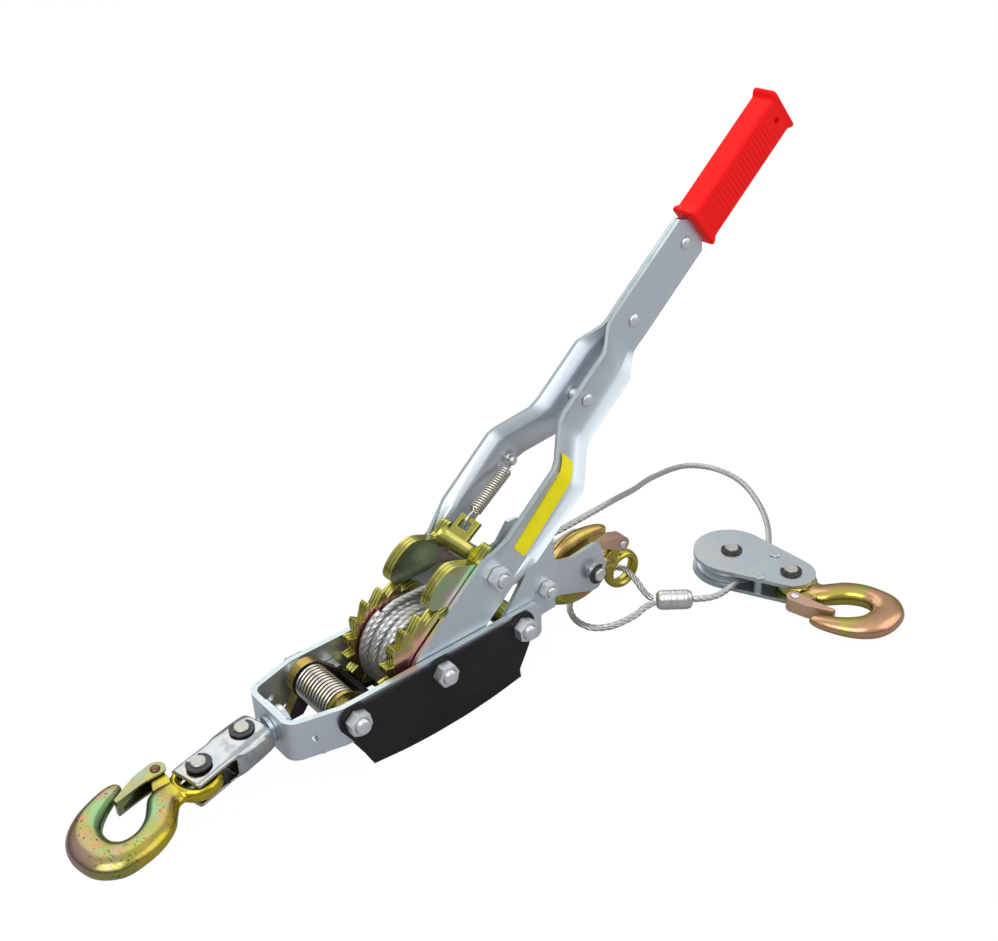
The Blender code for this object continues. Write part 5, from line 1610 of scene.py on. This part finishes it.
@dataclass
class Pawls:
    """The drive pawl and its spring, and the stop pawl with its coil.

    Args:
        coil_turns: the turns of the coil on the stop pawl's sleeve.
        coil_end: where the coil's seat ends on the near side.
        coil_radius: the radius of that coil's middle line.
        coil_wire: its wire's radius.
        pull_turns: the turns of the drive pawl's pull spring.
        pull_radius: the radius of that coil's middle line.
        pull_wire: its wire's radius.
        finger: the drive pawl's outline from its hub round the tail and the tip.
    """

    coil_turns: float = 12.0
    coil_end: float = -21.6
    coil_radius: float = 11.6
    coil_wire: float = 0.95
    pull_turns: float = 19.0
    pull_radius: float = 4.1
    pull_wire: float = 0.74
    finger: tuple[tuple[float, float], ...] = (
        (64.9, 53.1), (61.6, 60.4), (57.5, 66.0), (54.5, 68.2), (51.0, 66.8), (44.0, 61.0),
        (37.0, 62.2), (28.0, 65.6), (20.0, 66.4), (10.0, 61.0), (3.5, 54.5), (0.4, 49.0),
        (0.6, 45.5), (3.0, 41.8), (7.0, 40.9), (20.0, 39.2), (32.0, 39.4), (42.0, 41.0))

    def pull_spring(self) -> None:
        """A close helix from the pawl's tab to the screw, with a hook at each end."""
        low, high = np.array((69.4, 9.0, 75.0)), np.array((108.0, 20.2, 87.2))
        axis = unit(high - low)
        side = unit(np.cross(axis, (0.0, 1.0, 0.0)))
        other = np.cross(axis, side)
        t = np.linspace(0, 1, int(self.pull_turns * 26))[:, None]
        angle = 2 * pi * self.pull_turns * t
        around = side * np.cos(angle) + other * np.sin(angle)
        coil = low + (high - low) * t + self.pull_radius * around
        hook = np.array(((61.4, 6.0, 65.4), (58.6, 6.0, 66.6), (57.4, 6.0, 70.0), (59.2, 6.0, 73.6),
                         (63.2, 6.4, 75.8), (67.0, 7.4, 76.4)))
        loop = arc(SCREW_AT, 4.3, 205, -110, 20)
        end = np.stack((loop[:, 0], np.full(20, 23.6), loop[:, 1]), -1)
        path = np.vstack((smooth(np.vstack((hook, coil[:1])), 40)[:-1], coil,
                          smooth(np.vstack((coil[-1:], end)), 60)[1:]))
        obj = assemble("pull_spring", tube(path, self.pull_wire, 10))
        paint(obj, Finishes.SPRING.material())
        stand_for(obj, "bright_zinc", "pawl_spring")

    def torsion_spring(self) -> None:
        """A close helix round the stop pawl's sleeve."""
        t = np.linspace(0, 1, int(self.coil_turns * 48))
        angle = 2 * pi * self.coil_turns * t
        far, near = 17.0 - self.coil_wire - 0.3, self.coil_end + self.coil_wire + 0.25
        path = lifted(Axis.Y, STOP_PIN[0] + self.coil_radius * np.cos(angle),
                      STOP_PIN[1] + self.coil_radius * np.sin(angle), far + (near - far) * t)
        obj = assemble("torsion_spring", tube(path, self.coil_wire, 12))
        paint(obj, Finishes.SPRING.material())
        stand_for(obj, "bright_zinc", "stop_pawl_spring")

    def drive_pawl(self) -> None:
        """Three plates a side on a smooth outline, the web between them and the slotted tab.

        The web is a round bar whose radius grows as an exponential of the distance from its
        middle, towards the plates.
        """
        face, edge = Finishes.PAWL_FACE.material(), Finishes.WHEEL_EDGE.material()
        outline = np.vstack((arc(PAWL_PIN, 12.0, 215, 395, 30), smooth(np.array(self.finger), 160)))
        plates = [prism(outline, side * (17.05 + 3.1 * k), side * (19.65 + 3.1 * k), Axis.Y)
                  for side in (-1, 1) for k in range(3)]
        fingers = assemble("pawl_plates", *plates)
        cut(fingers, turned([(5.3, -30.0), (5.3, 30.0)], Axis.Y, PAWL_PIN, 40))
        shade(fingers, EDGE_ANGLE)
        bevel(fingers, 0.4)
        paint(fingers, face, edge, Axis.Y)
        stand_for(fingers, "green_zinc", "drive_pawl")
        rows = np.linspace(-17.3, 17.3, 40)
        web = assemble("pawl_web", turned([(6.0 + 2.0 * np.exp((abs(y) - 17.3) / 2.4), y)
                                           for y in rows], Axis.Y, (48.2, 59.6), 40))
        tab = assemble("pawl_tab", prism(np.array(((46.9, 63.3), (49.1, 61.1), (64.3, 71.7),
                                                   (62.5, 74.2))), -5.0, 15.0, Axis.Y))
        cut(tab, prism(np.array(((52.6, 71.0), (59.0, 61.8), (64.0, 65.3), (57.7, 74.6))), 1.0, 11.0,
                       Axis.Y))
        shade(tab, EDGE_ANGLE)
        bevel(tab, 0.4)
        for obj in (web, tab):
            paint(obj, edge)
            riding(obj, body_of("drive_pawl"))

    def stop_pawl(self) -> None:
        """The stop pawl: its sleeve is turned down for the coil, with painted shade in black on it, and
        its lever's end is cut.
        """
        stop = machined("stop_pawl", 0.0)
        seat = [(9.3, -16.9), (14.6, -16.9), (14.6, self.coil_end), (9.3, self.coil_end)]
        cut(stop, turned(seat, Axis.Y, STOP_PIN, 64, ring=True),
            prism(np.array(((-96.0, -24.4), (-74.0, -24.4), (-74.0, -34.0), (-96.0, -34.0))),
                  -30.0, 30.0, Axis.Y))
        shade(stop, EDGE_ANGLE)
        bevel(stop, 0.4)
        paint(stop, Finishes.SLEEVE_GOLD.material())
        stop.data.materials.append(Finishes.PALE_ZINC.material())
        stop.data.materials.append(Finishes.CLIP_BLACK_AND_SHADE.material())
        middles = np.empty(len(stop.data.polygons) * 3)
        stop.data.polygons.foreach_get("center", middles)
        x, y, z = ((middles.reshape(-1, 3) - SHIFT) / MM).T
        tab = (x > -54.5) & (x < -43.5) & (y > 24.6) & (z > -5.8) & (z < -3.3)
        tab |= (x > -54.1) & (x < -43.9) & (y > 19.9) & (z > -5.6) & (z < -3.5)
        # painted shade: the sleeve's faces under the coil take the black finish, for the shadow between
        # the coil's turns
        sleeve = (np.hypot(x - STOP_PIN[0], z) < 9.8) & (np.abs(y) < 21.5)
        stop.data.polygons.foreach_set("material_index", tab.astype(np.int32) + 2 * sleeve)
        stand_for(stop, "gold_zinc", "stop_pawl")

    def build(self) -> None:
        """Makes both pawls."""
        self.drive_pawl()
        self.stop_pawl()
        dressed("stop_pawl_bar", "black_steel", Finishes.BLACK, 0.3)
        dressed("spring_screw", "bright_zinc", Finishes.BRIGHT, 0.2)
        self.pull_spring()
        self.torsion_spring()


@dataclass
class Hook:
    """One cast hook with its latch and rivet.

    Args:
        name: the CAD hook node.
        latch: the CAD latch node.
        eye: the middle of its eye.
        along: from bowl to eye.
        normal: across its flat side.
        finish: the casting's finish.
        latch_finish: the latch's finish.
        rivet_finish: the rivet's finish.
    """

    name: str
    latch: str
    eye: tuple[float, float, float]
    along: tuple[float, float, float]
    normal: tuple[float, float, float]
    finish: Finishes
    latch_finish: Finishes
    rivet_finish: Finishes

    SECTIONS = (  # inner side, outer side, half thickness
        ((-14.0, 9.5), (-9.0, -11.0), 4.2),
        ((-19.5, 8.6), (-16.8, -11.4), 4.9),
        ((-25.6, 7.2), (-22.0, -18.0), 6.2),
        ((-31.5, 3.0), (-28.1, -26.8), 7.0),
        ((-39.2, -9.6), (-38.5, -33.8), 7.4),
        ((-47.2, -16.6), (-51.5, -37.8), 7.5),
        ((-55.6, -17.8), (-66.5, -38.4), 7.6),
        ((-60.6, -13.6), (-79.0, -29.6), 7.6),
        ((-62.2, -7.0), (-84.2, -15.4), 7.6),
        ((-61.4, -0.6), (-84.0, -1.6), 7.3),
        ((-58.4, 4.8), (-79.0, 9.6), 6.8),
        ((-54.0, 9.8), (-69.4, 19.4), 6.0),
        ((-48.2, 14.8), (-57.6, 26.0), 5.2),
        ((-42.8, 18.8), (-48.0, 29.6), 4.4),
        ((-38.4, 22.8), (-42.2, 30.4), 3.2),
        ((-37.4, 25.6), (-39.2, 29.8), 1.6),
    )

    def placement(self) -> Matrix:
        """The hook's own frame in the winch's.

        Returns:
            Its matrix, with X along the hook and Z across its flat side.
        """
        x = Vector(self.along).normalized()
        z = Vector(self.normal)
        z = (z - x * z.dot(x)).normalized()
        matrix = Matrix((x, z.cross(x), z)).transposed().to_4x4()
        matrix.translation = Vector(self.eye)
        return matrix

    def bowl(self) -> Shell:
        """The casting: a rounded section carried between an inner and an outer line.

        Returns:
            The shell, in the hook's own frame.
        """
        rows = smooth(np.array([(*inner, *outer, half) for inner, outer, half in self.SECTIONS]), 150)
        inner, outer, half = rows[:, :2], rows[:, 2:4], rows[:, 4]
        section = superellipse(1.0, 1.0, 0.9, 40)
        flat = ((inner + outer) / 2)[:, None] + ((outer - inner) / 2)[:, None] * section[:, :1]
        up = half[:, None] * section[:, 1]
        return skin(np.concatenate((flat, up[..., None]), -1))

    def build(self) -> list[bpy.types.Object]:
        """Makes the hook, the latch and the rivet.

        Returns:
            The three pieces.
        """
        matrix = self.placement()
        angle = np.linspace(0, 2 * pi, 24, endpoint=False)
        ring = [(13.0 + 3.3 * cos(a), 5.0 * sin(a)) for a in angle]
        lug = np.vstack((arc(LATCH_PIN, 4.3, -20, 170, 20), ((-26.0, 6.5), (-13.5, 4.5))))
        casting = assemble(f"{self.name}_casting", self.bowl().placed(matrix),
                           turned(ring, Axis.Z, (0.0, 0.0), 96, ring=True).placed(matrix),
                           prism(lug, -3.4, 3.4, Axis.Z).placed(matrix))
        cast(casting, 0.55, 5)
        mark_rings(casting, matrix, (-47.0, 0.0), 150.0)
        paint(casting, self.finish.material())
        stand_for(casting, "gold_zinc", self.name)
        plate = dressed(self.latch, "copper_zinc", self.latch_finish, 0.25)
        t = np.linspace(0.15, pi / 2, 8)
        head = [(3.2 * sin(a), 5.9 + 1.3 * cos(a)) for a in t]
        profile = [(0.3, 7.2), *head, (2.0, 5.9), (2.0, -5.9), *[(r, -z) for r, z in head[::-1]],
                   (0.3, -7.2)]
        rivet = assemble(f"{self.latch}_pin", turned(profile, Axis.Z, LATCH_PIN, 32).placed(matrix))
        paint(rivet, self.rivet_finish.material())
        stand_for(rivet, "bright_zinc", f"{self.latch}_rivet")
        return [casting, plate, rivet]


@dataclass
class Anchor:
    """The swivel stud, its washer, the pressed link and both pins.

    Args:
        sections: along the link, half width, half height and squareness.
        slot: half the space inside the link.
        face: from the link's middle height to the pins' heads.
    """

    sections: tuple[tuple[float, float, float, float], ...] = (
        (-12.6, 13.8, 9.6, 0.75), (-11.6, 15.0, 10.4, 0.75), (-4.0, 15.4, 10.8, 0.7),
        (6.0, 15.4, 10.8, 0.65), (13.0, 14.6, 10.4, 0.5), (20.0, 12.6, 9.7, 0.35),
        (30.0, 12.4, 9.6, 0.28), (46.6, 12.4, 9.6, 0.28), (47.8, 11.6, 9.2, 0.3))
    slot: float = 6.3
    face: float = 11.2

    def link_matrix(self) -> Matrix:
        """The link's own frame: X from the link pin to the hook pin."""
        angle = atan2(HOOK_PIN[1] - LINK_PIN[1], HOOK_PIN[0] - LINK_PIN[0])
        return Matrix.Translation((*LINK_PIN, ANCHOR_Z)) @ Matrix.Rotation(angle, 4, "Z")

    def link(self) -> None:
        """The pressed link: a rounded rectangle along its length, slotted from both ends."""
        matrix = self.link_matrix()
        rows = smooth(np.array(self.sections), 60)
        angle = 2 * pi * (np.arange(56) + 0.5) / 56
        c, s = np.cos(angle), np.sin(angle)
        power = rows[:, 3:]
        grid = np.stack((np.broadcast_to(rows[:, :1], (60, 56)),
                         rows[:, 1:2] * np.sign(c) * np.abs(c) ** power,
                         rows[:, 2:3] * np.sign(s) * np.abs(s) ** power), -1)
        obj = assemble("pressed_link", skin(grid).placed(matrix))
        slot = self.slot
        span = hypot(HOOK_PIN[0] - LINK_PIN[0], HOOK_PIN[1] - LINK_PIN[1])
        inner = superellipse(11.8, slot, 0.6, 40)
        mouth = np.stack([lifted(Axis.X, inner[:, 0], inner[:, 1], np.full(40, x))
                          for x in (-20.0, 9.0)])
        plate_gap = np.array(((-20.0, -slot), (20.0, -slot), (20.0, slot), (-20.0, slot)))
        gap = np.stack([lifted(Axis.X, plate_gap[:, 0], plate_gap[:, 1], np.full(4, x))
                        for x in (17.5, 60.0)])
        cut(obj, skin(mouth).placed(matrix), skin(gap).placed(matrix))
        cast(obj, 0.5, 4)
        cut(obj, *[turned([(5.25, -30.0), (5.25, 30.0)], Axis.Z, (u, 0.0), 32).placed(matrix)
                   for u in (0.0, span)])
        shade(obj, 50.0)
        paint(obj, Finishes.LINK.material())
        stand_for(obj, "bright_zinc", "swivel_link")

    def pin(self, node: str, centre: tuple[float, float], facing: float) -> None:
        """A headed pin with a black open clip at its top.

        Args:
            node: the pin's CAD node.
            centre: its axis as (x, y).
            facing: the direction of the clip's mouth, in degrees.
        """
        low, high = ANCHOR_Z - self.face, ANCHOR_Z + self.face
        profile = [(6.2, low - 1.8), (7.0, low - 1.4), (7.2, low - 0.9), (7.2, low), (5.0, low),
                   (5.0, high + 2.0), (4.4, high + 2.7)]
        obj = assemble(f"{node}_piece", turned(profile, Axis.Z, centre, 40))
        bevel(obj, 0.15)
        paint(obj, Finishes.PIN_END.material())
        stand_for(obj, "bright_zinc", node)
        clip_on(f"{node}_clip", "link",
                open_ring(centre, 5.0, high + 0.05, high + 1.3, Axis.Z, facing))

    def build(self) -> None:
        """Makes the whole anchor."""
        for node in ("swivel_washer", "swivel_stud"):
            dressed(node, "bright_zinc", Finishes.PALE_ZINC, 0.5)
        self.link()
        self.pin("link_pin", LINK_PIN, 75.0)
        self.pin("hook_pin", HOOK_PIN, 100.0)


@dataclass
class PulleyBlock:
    """Two cheek plates with stamped posts, the grooved sheave and two clipped pins.

    Args:
        pin: the pins' radius.
        posts: the posts' places.
        floor: the height of the floor.
    """

    pin: float = 4.5
    posts: tuple[tuple[float, float], ...] = ((303.6, -71.4), (271.2, -81.9))
    floor: float = -48.0

    def sheave(self) -> bpy.types.Object:
        """The sheave: its groove is a half circle a little wider than the cable.

        Returns:
            The sheave.
        """
        t = np.linspace(0.0, pi, 18)
        groove = [(23.4 - 2.9 * sin(a), BLOCK_MIDDLE - 2.9 * cos(a)) for a in t]
        profile = [(4.8, BLOCK_MIDDLE - 5.2), (26.1, BLOCK_MIDDLE - 5.2), (26.5, BLOCK_MIDDLE - 4.8),
                   (26.3, BLOCK_MIDDLE - 4.2), *groove, (26.3, BLOCK_MIDDLE + 4.2),
                   (26.5, BLOCK_MIDDLE + 4.8), (26.1, BLOCK_MIDDLE + 5.2), (4.8, BLOCK_MIDDLE + 5.2)]
        obj = assemble("grooved_sheave", turned(profile, Axis.Z, SHEAVE_PIN, 96, ring=True))
        paint(obj, Finishes.ZINC.material())
        return stand_for(obj, "zinc", "sheave")

    def clipped_pin(self, node: str, centre: tuple[float, float], facing: float
                    ) -> list[bpy.types.Object]:
        """A pin with a chamfered end and a black open clip.

        Args:
            node: the pin's CAD node.
            centre: its axis as (x, y).
            facing: the direction of the clip's mouth, in degrees.

        Returns:
            The pin and the clip.
        """
        top = BLOCK_TOP + 3.6
        wide = self.pin + 0.7
        profile = [(3.7, self.floor + 0.2), (self.pin, self.floor + 1.0), (self.pin, BLOCK_TOP - 0.3),
                   (wide, BLOCK_TOP + 0.05), (wide, top - 0.4), (wide - 0.4, top)]
        obj = assemble(f"{node}_piece", turned(profile, Axis.Z, centre, 40))
        shade(obj, 30.0)
        paint(obj, Finishes.PIN_END.material())
        stand_for(obj, "bright_zinc", node)
        clip = clip_on(f"{node}_clip", "block",
                       open_ring(centre, wide, BLOCK_TOP + 0.05, BLOCK_TOP + 1.35, Axis.Z, facing))
        return [obj, clip]

    def post(self, number: int, centre: tuple[float, float]) -> bpy.types.Object:
        """The stamped end of a post: concentric rings that stand a little out of the plate.

        Args:
            number: which post it is.
            centre: its axis as (x, y).

        Returns:
            The post's end.
        """
        rings = ((0.3, 0.30), (1.1, 0.28), (1.5, 0.10), (2.0, 0.12), (2.5, 0.45), (3.3, 0.50),
                 (3.9, 0.34), (4.2, -0.20), (4.0, -1.00))
        profile = [(radius, BLOCK_TOP + height) for radius, height in rings]
        obj = assemble(f"block_post_{number}", turned(profile, Axis.Z, centre, 40))
        paint(obj, Finishes.PALE_ZINC.material())
        return riding(obj, "block")

    def build(self) -> list[bpy.types.Object]:
        """Makes the block.

        Returns:
            All its pieces.
        """
        pieces = []
        face, edge = Finishes.PALE_ZINC.material(), Finishes.ZINC_EDGE.material()
        for node in ("block_plate_lower", "block_plate_upper"):
            plate = machined(node, 0.5)
            paint(plate, face, edge, Axis.Z)
            pieces.append(stand_for(plate, "zinc", node))
        pieces.append(self.sheave())
        pieces += self.clipped_pin("sheave_pin", SHEAVE_PIN, 60.0)
        pieces += self.clipped_pin("block_hook_pin", BLOCK_HOOK_PIN, 70.0)
        pieces += [self.post(number, centre) for number, centre in enumerate(self.posts, 1)]
        return pieces


def main() -> None:
    """Builds the whole winch and its studio in order."""
    logging.basicConfig(level=logging.INFO, format="%(name)s %(message)s")
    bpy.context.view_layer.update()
    patina_group()
    surface_group()
    Studio().build()
    anchor_hook = Hook("anchor_hook", "anchor_latch", (-168.6, -9.1, -6.0), (1.0, 0.0, 0.0),
                       (0.0, 0.0, 1.0), Finishes.HOOK_GOLD, Finishes.LATCH_GREEN, Finishes.DARK_RIVET)
    cable_hook = Hook("cable_hook", "cable_latch", (202.4, -0.8, -31.4), (0.835, -0.035, -0.54),
                      (-0.045, -0.999, 0.0), Finishes.HOOK_AMBER, Finishes.COPPER, Finishes.BRIGHT)
    pulley_hook = Hook("pulley_hook", "pulley_latch", (295.2, -99.2, BLOCK_MIDDLE),
                       (0.07, 0.9975, 0.0), (0.0, 0.0, 1.0), Finishes.HOOK_ROSE, Finishes.COPPER,
                       Finishes.BRIGHT)
    anchor_hook.build()
    on_eye = cable_hook.build()
    on_run = PulleyBlock().build()
    pulley_hook.build()
    Cables().build(on_run, on_eye)
    Body().build()
    Drum().build()
    Handle().build()
    Pawls().build()
    Anchor().build()


if __name__ == "__main__":
    main()
